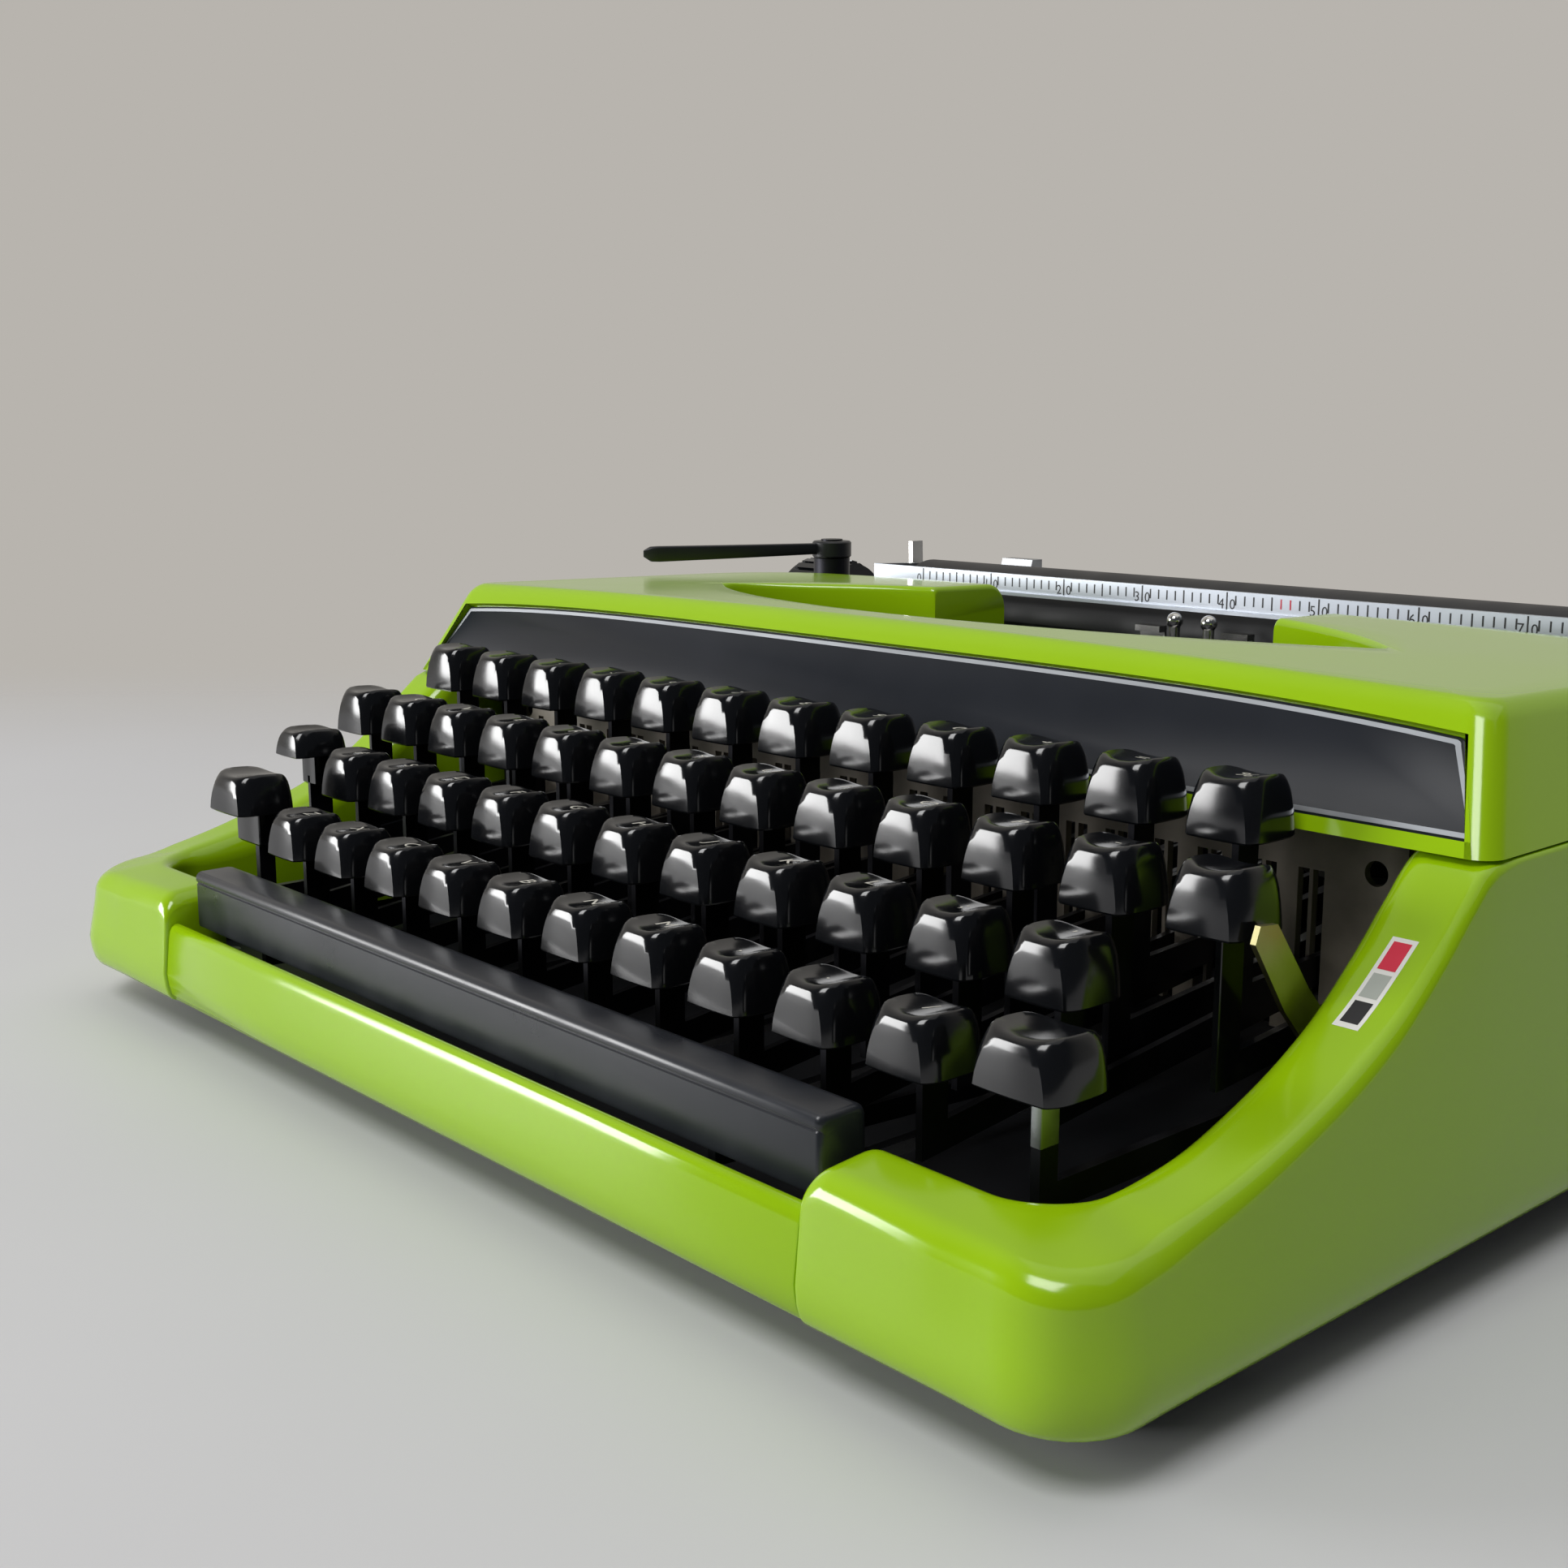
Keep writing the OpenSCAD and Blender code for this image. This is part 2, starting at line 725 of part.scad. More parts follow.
module paper_bail() {
  z0 = 78.4;
  color([0.78, 0.80, 0.83])
  difference() {
    union() {
      span([-109.5, 212.4, z0], [109.5, 213.4, z0 + strip_h]);
      span([-109.5, 210.8, z0], [109.5, 213.4, z0 + 0.8]);
      for (s = [-1, 1]) {
        slab(s * 108.75 - 0.75, s * 108.75 + 0.75)
        union() {
          polygon([[212.4, z0], [212.4, z0 + strip_h], [228, 83], [246, 75], [248, 70],
                   [240, 70], [228, 77.4]]);
          translate([bail_y, bail_z]) circle(4.4);
        }
      }
    }
    rod_x(-130, 130, bail_y, bail_z, 2 + run_fit);
  }
}

module paper_table() {
  color([0.36, 0.37, 0.39])
  union() {
    slab(-104, 104)
      polygon([[246.6, 45], [248.4, 45], [248.4, 56], [254.6, 80], [253, 80.6], [246.6, 56.4]]);
    span([-104, 246.6, 45], [104, 256, 46.2]);
  }
}

module paper_guide() {
  color([0.80, 0.82, 0.85])
  difference() {
    slab(-99, -88)
      polygon([[244.6, 56], [245.6, 54.6], [256.4, 78], [256.4, 83.6], [252.4, 83.6],
               [251.6, 81]]);
    slab(-104, -40)
      polygon([[246.3, 44], [248.8, 44], [248.8, 56], [255, 80.4], [252.9, 81], [246.3, 56.8]]);
  }
}

module return_lever() {
  a = atan2(tip_y - lever_y, tip_x - lever_x);
  len = sqrt(pow(tip_y - lever_y, 2) + pow(tip_x - lever_x, 2));
  color([0.07, 0.07, 0.08])
  translate([lever_x, lever_y, lever_z])
  difference() {
    union() {
      cylinder(r = 5.5, h = 4.6);
      rotate([0, 0, a]) {
        span([3, -1.3, 0], [len, 1.3, 4.6]);
        translate([len - 1.6, 0, 0]) cylinder(r = 1.6, h = 4.6);
      }
    }
    translate([0, 0, -1]) cylinder(r = 3 + run_fit, h = 10);
  }
}

module end_cover(s) {
  difference() {
    slab(s < 0 ? -134 : end_x + 2.6, s < 0 ? -end_x - 2.6 : 134)
      polygon([[211, 46], [254, 46], [254, 62], [248, 71], [236, 75.4], [214, 75.4],
               [209, 70], [209, 48]]);
    slab(s < 0 ? -132 : end_x, s < 0 ? -end_x : 132)
      polygon([[213, 40], [252, 40], [252, 61], [247, 69], [235.4, 73.4], [215, 73.4],
               [211, 69], [211, 40]]);
    rod_x(s < 0 ? -140 : 130, s < 0 ? -130 : 140, platen_y, platen_z, shaft_r + 1);
    // slots for the small levers
    if (s < 0) {
      span([-small_x - 3, space_lever[0] - 5.4, 54], [-small_x + 3, space_lever[0] + 12, 80]);
    } else {
      span([small_x - 3, paper_lever[0] - 6, 56], [small_x + 3, 256, 80]);
      span([small_x - 3, free_lever[0] - 7, 40], [small_x + 3, 256, 56.4]);
    }
  }
}

module end_cover_left() {
  color([0.09, 0.09, 0.10]) end_cover(-1);
}

module end_cover_right() {
  color([0.09, 0.09, 0.10]) end_cover(1);
}

// small finger lever on a pin along X
module finger_lever(x, p, lean, top) {
  slab(x - 0.8, x + 0.8)
  translate(p)
  difference() {
    union() {
      circle(3.8);
      polygon([[-2.2, 0], [2.2, 0], [lean + 2, top - p[1]], [lean - 2, top - p[1]]]);
    }
    circle(2 + run_fit);
  }
}

module paper_release_lever() {
  color([0.78, 0.79, 0.81]) finger_lever(small_x, paper_lever, 4, 86);
}

module line_space_lever() {
  color([0.82, 0.83, 0.85]) finger_lever(-small_x, space_lever, -1, 88);
}

module carriage_release_lever() {
  color([0.76, 0.77, 0.79])
  slab(small_x - 0.8, small_x + 0.8)
  translate(free_lever)
  difference() {
    union() {
      circle(3.8);
      polygon([[0, -3], [0, 3], [30, -1.6], [30, -5.2]]);
    }
    circle(2 + run_fit);
  }
}

module margin_rack() {
  color([0.68, 0.69, 0.70])
  difference() {
    span([-end_x, 258.6, 50], [end_x, 260.6, 56]);
    for (i = [-42 : 42]) {
      span([i * 2.4 - 0.6, 258, 55], [i * 2.4 + 0.6, 261, 57]);
    }
  }
}

module margin_stop(x) {
  difference() {
    span([x - 4, 256.8, 48.2], [x + 4, 262.2, 58.4]);
    span([x - 5, 258.6 - run_fit, 50 - run_fit], [x + 5, 260.6 + run_fit, 56 + run_fit]);
  }
}

module margin_stop_left() {
  color([0.40, 0.41, 0.43]) margin_stop(-84);
}

module margin_stop_right() {
  color([0.40, 0.41, 0.43]) margin_stop(84);
}

// one key cap, its top front edge at y, z
module key_cap(x, y, z, w, d, h) {
  difference() {
    intersection() {
      slab(x - w / 2, x + w / 2)
        polygon([[y - 1.2, z - h], [y - 0.5, z - 2], [y + 0.9, z], [y + d - 2.2, z - 0.6],
                 [y + d - 0.9, z - 1.8], [y + d, z - h]]);
      translate([x, y + d + 1, z]) rotate([90, 0, 0]) linear_extrude(d + 4)
        polygon([[-w / 2, -h], [1 - w / 2, -2], [2.4 - w / 2, 1],
                 [w / 2 - 2.4, 1], [w / 2 - 1, -2], [w / 2, -h]]);
    }
    translate([x, y + d / 2, z + 15]) rotate([90, 0, 0])
      cylinder(r = 15.8, h = d + 6, center = true);
  }
}

// one key lever from its rod up to the foot of its cap
module key_lever(x, r) {
  y = row_y[r] + 6.5;
  z = foot_z[r];
  slab(x - lever_t / 2, x + lever_t / 2)
  difference() {
    union() {
      polygon([[y - 2.5, row_z[r] - cap_h], [y - 2.5, z - 2.5], [fulcrum_y, fulcrum_z - 2.5],
               [fulcrum_y, fulcrum_z + 2.5], [y + 2.5, z + 2.5],
               [y + 2.5, row_z[r] - cap_h]]);
      translate([fulcrum_y, fulcrum_z]) circle(4.2);
    }
    translate([fulcrum_y, fulcrum_z]) circle(rod_r + run_fit);
  }
}

module row_caps(r) {
  for (i = [0 : row_n[r] - 1]) {
    key_cap(key_x(r, i), row_y[r], row_z[r], cap_w, cap_d, cap_h);
  }
}

module row_levers(r) {
  for (i = [0 : row_n[r] - 1]) {
    key_lever(key_x(r, i), r);
  }
}

module number_row_caps() {
  color([0.06, 0.06, 0.07]) row_caps(3);
}

module number_row_levers() {
  color([0.62, 0.63, 0.64]) row_levers(3);
}

module top_row_caps() {
  color([0.06, 0.06, 0.07]) row_caps(2);
}

module top_row_levers() {
  color([0.62, 0.63, 0.64]) row_levers(2);
}

module home_row_caps() {
  color([0.06, 0.06, 0.07]) row_caps(1);
}

module home_row_levers() {
  color([0.62, 0.63, 0.64]) row_levers(1);
}

module bottom_row_caps() {
  color([0.06, 0.06, 0.07]) row_caps(0);
}

module bottom_row_levers() {
  color([0.62, 0.63, 0.64]) row_levers(0);
}

// cap and lever of a function key in one piece, the cap h tall with its top at z
module side_key(x, r, z, w, h) {
  union() {
    key_cap(x, row_y[r], z, w, cap_d, h);
    key_lever(x, r);
    span([x - 3, row_y[r] + 4, row_z[r] - cap_h - 2], [x + 3, row_y[r] + 9, z - h]);
  }
}

module backspace_key() {
  color([0.06, 0.06, 0.07]) side_key(row_x[2] + side_key_x, 2, row_z[2], cap_w, cap_h);
}

module margin_release_key() {
  color([0.06, 0.06, 0.07]) side_key(row_x[2] - side_key_x, 2, row_z[2], cap_w, cap_h);
}

module lock_key() {
  color([0.06, 0.06, 0.07]) side_key(lock_x, 1, row_z[1] + 2.4, 11.4, 5);
}

// cap i of the shift, on a post of half width p
module shift_cap(i, x, w, p) {
  z = shift_top[i] - shift_skirt;
  union() {
    key_cap(x, row_y[0] - 0.4, shift_top[i], w, cap_d + 0.4, shift_skirt);
    span([x - p, row_y[0] + 3.5, z - shift_post[i]], [x + p, row_y[0] + 8.5, z]);
  }
}

module left_shift_key() {
  color([0.06, 0.06, 0.07]) shift_cap(0, shift_x[0] - 1.9, 16, 5);
}

module right_shift_key() {
  color([0.06, 0.06, 0.07]) shift_cap(1, shift_x[1] + 0.3, 15, 2);
}

module shift_shaft() {
  color([0.66, 0.67, 0.68])
  union() {
    rod_x(-frame_x - frame_t, frame_x + frame_t, shift_y, shift_z, rod_r);
    for (i = [0, 1]) {
      z = shift_top[i] - shift_skirt - shift_post[i];
      slab(shift_x[i] - 0.8, shift_x[i] + 0.8)
      union() {
        translate([shift_y, shift_z]) circle(4);
        polygon([[row_y[0] + 4.5, z], [row_y[0] + 4.5, shift_z - 2], [shift_y, shift_z - 2],
                 [shift_y, shift_z + 2], [row_y[0] + 8, shift_z + 2], [row_y[0] + 8, z]]);
      }
    }
  }
}

module space_bar() {
  color([0.06, 0.06, 0.07])
  slab(1.8 - rail_x, rail_x - 1.8)
    polygon([[6.4, 23.4], [6.4, 33.4], [7.4, 34.4], [14, 34.4], [15.2, 33.2], [15.4, 23.4]]);
}

module space_bar_arms() {
  color([0.60, 0.61, 0.62])
  union() {
    rod_x(-frame_x - frame_t, frame_x + frame_t, space_y, space_z, rod_r);
    for (x = space_arm_x) {
      slab(x - 0.8, x + 0.8)
        polygon([[7.6, 23.4], [7.6, 20.6], [space_y, space_z - 1.8], [space_y, space_z + 1.8],
                 [14.6, 23.4]]);
    }
  }
}

place() lower_case();
place() front_rail();
place() ribbon_cover();
place() name_panel();
place() base_plate();
place() rubber_feet();
place() case_screws();
place() cover_hinge_pins();
place() main_frame();
place() key_comb();
place() fulcrum_rod();
place() guide_rails();
place() type_segment();
place() typebars();
place() type_guide();
place() ribbon_vibrator();
place() spool_cups();
place() ribbon_spool_left();
place() ribbon_spool_right();
place() ribbon();
place() selector_lever();
place() escapement_wheel();
place() mainspring_drum();
place() carriage_frame();
place() platen();
place() platen_shaft();
place() knob_left();
place() knob_right();
place() ratchet_wheel();
place() paper_pan();
place() feed_roller();
place() paper_bail();
place() paper_table();
place() paper_guide();
place() return_lever();
place() end_cover_left();
place() end_cover_right();
place() paper_release_lever();
place() line_space_lever();
place() carriage_release_lever();
place() margin_rack();
place() margin_stop_left();
place() margin_stop_right();
place() number_row_caps();
place() number_row_levers();
place() top_row_caps();
place() top_row_levers();
place() home_row_caps();
place() home_row_levers();
place() bottom_row_caps();
place() bottom_row_levers();
place() space_bar();
place() space_bar_arms();
place() left_shift_key();
place() right_shift_key();
place() shift_shaft();
place() lock_key();
place() backspace_key();
place() margin_release_key();
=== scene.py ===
import math

import bmesh
import bpy
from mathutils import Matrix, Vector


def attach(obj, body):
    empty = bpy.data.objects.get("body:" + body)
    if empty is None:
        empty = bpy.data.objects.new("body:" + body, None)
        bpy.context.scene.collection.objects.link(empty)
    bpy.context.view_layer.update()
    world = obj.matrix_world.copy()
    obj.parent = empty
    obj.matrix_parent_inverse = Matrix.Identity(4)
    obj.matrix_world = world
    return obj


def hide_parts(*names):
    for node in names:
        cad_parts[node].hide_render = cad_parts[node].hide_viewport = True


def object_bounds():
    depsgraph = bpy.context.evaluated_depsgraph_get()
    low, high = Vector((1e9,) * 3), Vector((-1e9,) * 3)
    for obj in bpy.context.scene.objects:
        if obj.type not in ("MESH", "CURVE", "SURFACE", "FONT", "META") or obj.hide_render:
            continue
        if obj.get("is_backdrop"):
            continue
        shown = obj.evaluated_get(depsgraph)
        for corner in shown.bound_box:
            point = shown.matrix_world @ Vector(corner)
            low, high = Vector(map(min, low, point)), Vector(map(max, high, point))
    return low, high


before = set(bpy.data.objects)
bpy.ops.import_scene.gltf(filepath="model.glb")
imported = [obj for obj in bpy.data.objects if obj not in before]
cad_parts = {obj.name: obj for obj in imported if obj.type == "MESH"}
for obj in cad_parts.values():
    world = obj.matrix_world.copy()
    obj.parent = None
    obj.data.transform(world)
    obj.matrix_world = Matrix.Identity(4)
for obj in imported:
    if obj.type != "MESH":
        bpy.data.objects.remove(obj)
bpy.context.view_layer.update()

# Floor of the machine: a pressed sheet steel plate, black enamelled and screwed to the moulded case
# from below, with four moulded rubber feet on zinc plated screws.
MM = 0.001


def linear(hex_colour):
    """An sRGB hex colour as the linear RGBA that the shaders take."""
    channels = [int(hex_colour[i:i + 2], 16) / 255 for i in (1, 3, 5)]
    return [c / 12.92 if c <= 0.04045 else ((c + 0.055) / 1.055) ** 2.4 for c in channels] + [1]


def add(tree, kind, values=None, links=None, **settings):
    """Adds a node with its settings, its socket values and its incoming links."""
    node = tree.nodes.new(kind)
    for name, value in settings.items():
        setattr(node, name, value)
    for socket, value in (values or {}).items():
        node.inputs[socket].default_value = value
    for socket, (source, output) in (links or {}).items():
        tree.links.new(source.outputs[output], node.inputs[socket])
    return node


def surface(name, dark, light, patch_mm, rough, grain_mm, depth_mm, stretch=(1, 1, 1), **sockets):
    """A worked surface: two close colours in patches, an uneven gloss and a fine relief."""
    material = bpy.data.materials.new(name)
    material.use_nodes = True
    tree = material.node_tree
    shader = tree.nodes["Principled BSDF"]
    for socket, value in sockets.items():
        shader.inputs[socket.replace("_", " ")].default_value = value
    place = add(tree, "ShaderNodeTexCoord")
    along = add(tree, "ShaderNodeMapping", {"Scale": stretch}, {"Vector": (place, "Object")})
    patches = add(tree, "ShaderNodeTexNoise", {"Scale": 1 / (patch_mm * MM), "Detail": 4.0},
                  {"Vector": (along, "Vector")})
    tint = add(tree, "ShaderNodeMix", {"A": linear(dark), "B": linear(light)},
               {"Factor": (patches, "Fac")}, data_type="RGBA")
    gloss = add(tree, "ShaderNodeMapRange",
                {"From Min": 0.3, "From Max": 0.7, "To Min": rough[0], "To Max": rough[1]},
                {"Value": (patches, "Fac")})
    grain = add(tree, "ShaderNodeTexNoise", {"Scale": 1 / (grain_mm * MM), "Detail": 2.0},
                {"Vector": (along, "Vector")})
    relief = add(tree, "ShaderNodeBump", {"Strength": 0.5, "Distance": depth_mm * MM},
                 {"Height": (grain, "Fac")})
    tree.links.new(tint.outputs["Result"], shader.inputs["Base Color"])
    tree.links.new(gloss.outputs["Result"], shader.inputs["Roughness"])
    tree.links.new(relief.outputs["Normal"], shader.inputs["Normal"])
    return material


def finish(material, *nodes):
    """Gives CAD nodes a finish in place of the plain one that they were packed with."""
    for node in nodes:
        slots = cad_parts[node].data.materials
        slots.clear()
        slots.append(material)


# Stoved enamel: dark and half gloss, a little uneven like all dipped paint.
black_enamel = surface("black_enamel_on_steel", "#16171A", "#1E1F22", 20, (0.34, 0.46), 0.8, 0.02,
                       Metallic=0.0)
# Zinc plate: a cool grey with faint clouds left by the bath.
zinc_plate = surface("zinc_plated_steel", "#8E9094", "#B4B7BA", 6, (0.30, 0.44), 0.4, 0.01,
                     Metallic=1.0)
# Moulded rubber: matt, almost black, with a dusty bloom.
moulded_rubber = surface("moulded_black_rubber", "#131313", "#1F1E1D", 5, (0.62, 0.78), 0.3, 0.02)
finish(black_enamel, "base_plate")
finish(moulded_rubber, "rubber_feet")
finish(zinc_plate, "case_screws")

# Lower case: one injection moulding in lime green ABS that runs round the machine. Its low front blocks
# rise into two arms beside the keyboard, the arms level off under the cover and drop to a rear deck.
FRONT = 142
WIDTH_HALF, DEPTH = 140, 284
OPENING_HALF, SLOT_END = 124, 268
CORNER, OPENING_CORNER = 12, 9
OPENING_FRONT, SLOT_CORNER = 13.6, 6
RAIL_HALF, SEAM = 93, 0.3
FOOT_TOP, INNER_FOOT = 14, 12
# inset and height of each point of the rounded foot
CASE_FOOT = ((2.6, 8), (1.5, 8.5), (0.75, 9.6), (0.25, 11.4), (0, FOOT_TOP))


def piece(name, shape, material, body, slot, *nodes, crease=38):
    """One real piece from points in millimetres, its y counted from the case's front edge."""
    points, faces = shape
    mesh = bpy.data.meshes.new(name)
    mesh.from_pydata([(x * MM, (y - FRONT) * MM, z * MM) for x, y, z in points], [], faces)
    skin = bmesh.new()
    skin.from_mesh(mesh)
    bmesh.ops.remove_doubles(skin, verts=skin.verts, dist=2e-6)
    bmesh.ops.dissolve_degenerate(skin, edges=skin.edges, dist=1e-6)
    bmesh.ops.recalc_face_normals(skin, faces=skin.faces)
    skin.to_mesh(mesh)
    skin.free()
    mesh.shade_smooth()
    mesh.set_sharp_from_angle(angle=math.radians(crease))
    mesh.materials.append(material)
    made = bpy.data.objects.new(name, mesh)
    bpy.context.scene.collection.objects.link(made)
    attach(made, body)
    if nodes:
        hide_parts(*nodes)
    return made


def loft(rows, closed_rows=True, ends=True):
    """Points and faces of a skin over rows of points with equal counts."""
    count = len(rows[0])
    points = [point for row in rows for point in row]
    faces = []
    for r in range(len(rows) - 1):
        for c in range(count if closed_rows else count - 1):
            d = (c + 1) % count
            faces.append((r * count + c, r * count + d, (r + 1) * count + d, (r + 1) * count + c))
    if ends:
        faces += [tuple(range(count)), tuple(range(len(points) - count, len(points)))]
    return points, faces


def together(*shapes):
    """Several skins as one piece."""
    points, faces = [], []
    for some_points, some_faces in shapes:
        start = len(points)
        points += some_points
        faces += [tuple(start + i for i in face) for face in some_faces]
    return points, faces


def mirrored(shape):
    """The same skin on the other side of the machine."""
    return [(-x, y, z) for x, y, z in shape[0]], shape[1]


def through(stations):
    """A smooth height curve through (place, height) stations that never overshoots them."""
    steps = [(b[1] - a[1]) / (b[0] - a[0]) for a, b in zip(stations, stations[1:])]
    slopes = [steps[0]]
    for before, after in zip(steps, steps[1:]):
        slopes.append(0 if before * after <= 0 else 2 * before * after / (before + after))
    slopes.append(steps[-1])

    def height(at):
        at = min(max(at, stations[0][0]), stations[-1][0])
        i = max(k for k in range(len(stations) - 1) if stations[k][0] <= at)
        (x0, z0), (x1, z1) = stations[i], stations[i + 1]
        w, t = x1 - x0, (at - x0) / (x1 - x0)
        return (z0 * (1 + 2 * t) * (1 - t) ** 2 + slopes[i] * w * t * (1 - t) ** 2
                + z1 * t * t * (3 - 2 * t) - slopes[i + 1] * w * t * t * (1 - t))
    return height


def spread(a, b, count):
    """Even steps from a to b, both ends included."""
    return [a + (b - a) * i / (count - 1) for i in range(count)]


ridge = through([(0, 29.4), (6, 29.9), (12, 30.4), (22, 31.0), (34, 32.6), (48, 36.8), (64, 44.2),
                 (76, 53.1), (83, 59.4), (87.4, 62.5), (91, 63), (194, 63), (196, 62.4),
                 (199.4, 42.2), (201.4, 41), (284, 41)])
outer_round = through([(0, 3.8), (14, 3.4), (30, 3.0), (48, 2.6), (84, 2.2), (92, 1.2), (95, 0.8),
                       (195, 0.8), (204, 4), (220, 5), (284, 6)])
inner_round = through([(0, 2.4), (14, 2.6), (26, 4.6), (40, 5.4), (84, 5.4), (93, 1.4), (196, 1),
                       (206, 2), (284, 2)])


def outer_hit(cx, cy, angle):
    """Where a ray from a point inside meets the rounded outline of the case."""
    dx, dy = math.cos(angle), math.sin(angle)
    hits = []
    if dx > 1e-9:
        hits.append((WIDTH_HALF - cx) / dx)
    if dy < -1e-9:
        hits.append(-cy / dy)
    if dy > 1e-9:
        hits.append((DEPTH - cy) / dy)
    reach = min(hits)
    x, y = cx + dx * reach, cy + dy * reach
    middle_x = WIDTH_HALF - CORNER
    middle_y = CORNER if dy < 0 else DEPTH - CORNER
    if x > middle_x and (y < CORNER or y > DEPTH - CORNER):
        ox, oy = cx - middle_x, cy - middle_y
        b = ox * dx + oy * dy
        reach = -b + math.sqrt(b * b - ox * ox - oy * oy + CORNER * CORNER)
        x, y = cx + dx * reach, cy + dy * reach
    return x, y


def case_row(outer, inner, lean, tilt=0, sink=0):
    """One cut through the moulding, from its foot outside over the top to its foot inside."""
    across = math.hypot(inner[0] - outer[0], inner[1] - outer[1])
    ux, uy = (inner[0] - outer[0]) / across, (inner[1] - outer[1]) / across
    r_out = outer_round(outer[1])
    r_in = inner_round(inner[1])

    def at(inset, drop):
        x, y = outer[0] + ux * inset, outer[1] + uy * inset
        return x, y, ridge(y) - drop - sink - tilt * (1 - inset / across)

    row = []
    edge_z = at(0, r_out)[2]
    for inset, z in CASE_FOOT:
        row.append((outer[0] + ux * inset, outer[1] + uy * inset, z))
    for share in (0.25, 0.5, 0.75):
        z = FOOT_TOP + (edge_z - FOOT_TOP) * share
        row.append((outer[0] + ux * lean * share, outer[1] + uy * lean * share, z))
    for turn in spread(0, math.pi / 2, 9):
        row.append(at(lean + r_out * (1 - math.cos(turn)), r_out * (1 - math.sin(turn))))
    for share in spread(0, 1, 7)[1:-1]:
        row.append(at(lean + r_out + (across - r_in - lean - r_out) * share, 0))
    for turn in spread(math.pi / 2, 0, 7):
        row.append(at(across - r_in * (1 - math.cos(turn)), r_in * (1 - math.sin(turn))))
    row.append((inner[0], inner[1], (row[-1][2] + INNER_FOOT) / 2))
    row.append((inner[0], inner[1], INNER_FOOT))
    return row


half_case = []
END_ROUND, END_TUCK = 4, 0.4
BLOCK_LEAN, BLOCK_TILT, REAR_LEAN = 0.9, 1.2, 0.6
block_end = RAIL_HALF + SEAM
block_run = OPENING_HALF - OPENING_CORNER - block_end
for run in (0, 0.12, 0.4, 0.9, 1.6, 2.5, 3.4, END_ROUND, 8, 13, 18, block_run):
    fall = END_ROUND * (1 - math.sqrt(1 - (0.93 * max(0, 1 - run / END_ROUND)) ** 2))
    tuck = END_TUCK * max(0, 1 - run / END_TUCK) ** 2
    half_case.append(case_row((block_end + run, tuck), (block_end + run, OPENING_FRONT - tuck),
                              BLOCK_LEAN, BLOCK_TILT * (run / block_run) ** 2, fall))
inner_x, inner_y = OPENING_HALF - OPENING_CORNER, OPENING_FRONT + OPENING_CORNER
corner_tilt = through([(-90, BLOCK_TILT), (-60, 2.1), (-40, 3.0), (-20, 2.7), (0, 1.2)])
corner_lean = through([(-90, BLOCK_LEAN), (-45, 1.9), (0, 1.5)])
for turn in spread(-90, 0, 22)[1:]:
    angle = math.radians(turn)
    half_case.append(case_row(outer_hit(inner_x, inner_y, angle),
                              (inner_x + OPENING_CORNER * math.cos(angle),
                               inner_y + OPENING_CORNER * math.sin(angle)),
                              corner_lean(turn), corner_tilt(turn)))
sides = (spread(inner_y, 96, 30)[1:] + spread(96, 194, 6)[1:] + spread(194, 204, 13)[1:]
         + spread(204, SLOT_END - SLOT_CORNER, 8)[1:])
side_tilt = through([(22.6, 1.2), (30, 0.2), (40, -0.6), (64, 0), (284, 0)])
side_lean = through([(22.6, 1.5), (40, 1.3), (88, 1.6), (195, 1.6), (201, 0.6), (284, 0.6)])
for y in sides:
    half_case.append(case_row((WIDTH_HALF, y), (OPENING_HALF, y), side_lean(y), side_tilt(y)))
inner_x, inner_y = OPENING_HALF - SLOT_CORNER, SLOT_END - SLOT_CORNER
for turn in spread(0, math.pi / 2, 14)[1:]:
    half_case.append(case_row(outer_hit(inner_x, inner_y, turn),
                              (inner_x + SLOT_CORNER * math.cos(turn),
                               inner_y + SLOT_CORNER * math.sin(turn)), REAR_LEAN))
for x in spread(inner_x, 0, 8)[1:]:
    half_case.append(case_row((x, DEPTH), (x, SLOT_END), REAR_LEAN))
right_case = loft(half_case)
# no end face at the rear, where the two halves meet
right_case[1].pop()

# Gloss ABS, moulded in the colour: lime green with the faint waviness of a polished mould.
lime_abs = surface("lime_green_gloss_abs", "#8CB406", "#92BA0A", 45, (0.12, 0.17), 3.5, 0.006,
                   IOR=1.53)
piece("case_moulding", together(right_case, mirrored(right_case)), lime_abs, "machine", "case_green",
      "lower_case")

# Front rail: a separate strip of the same ABS below the space bar, clipped between the two front blocks
# with a fine seam at each end.
rail_section = [(3.2, 8), (1.9, 8.6), (1.1, 9.8), (0.6, 11.6), (0.3, 14), (0.75, 18), (1.15, 21.4),
                (1.4, 22.6), (1.75, 23.4), (2.3, 23.9), (3.0, 24.1), (3.6, 23.9), (4.0, 23.4),
                (4.2, 22.7), (3.7, 18), (3.2, 14), (3.5, 12), (3.8, 10.8), (11, 10.8), (11, 9.2),
                (8.8, 9.2), (8.8, 8)]
rail_rows = []
for x, tuck in ((-RAIL_HALF, 0.35), (-RAIL_HALF + 0.12, 0.12), (-RAIL_HALF + 0.4, 0), (-46, 0), (0, 0),
                (46, 0), (RAIL_HALF - 0.4, 0), (RAIL_HALF - 0.12, 0.12), (RAIL_HALF, 0.35)):
    rail_rows.append([(x, y + (tuck if y < 5 else -tuck), z + (tuck if z < 12 else -tuck))
                      for y, z in rail_section])
piece("front_strip", loft(rail_rows), lime_abs, "machine", "case_green", "front_rail")

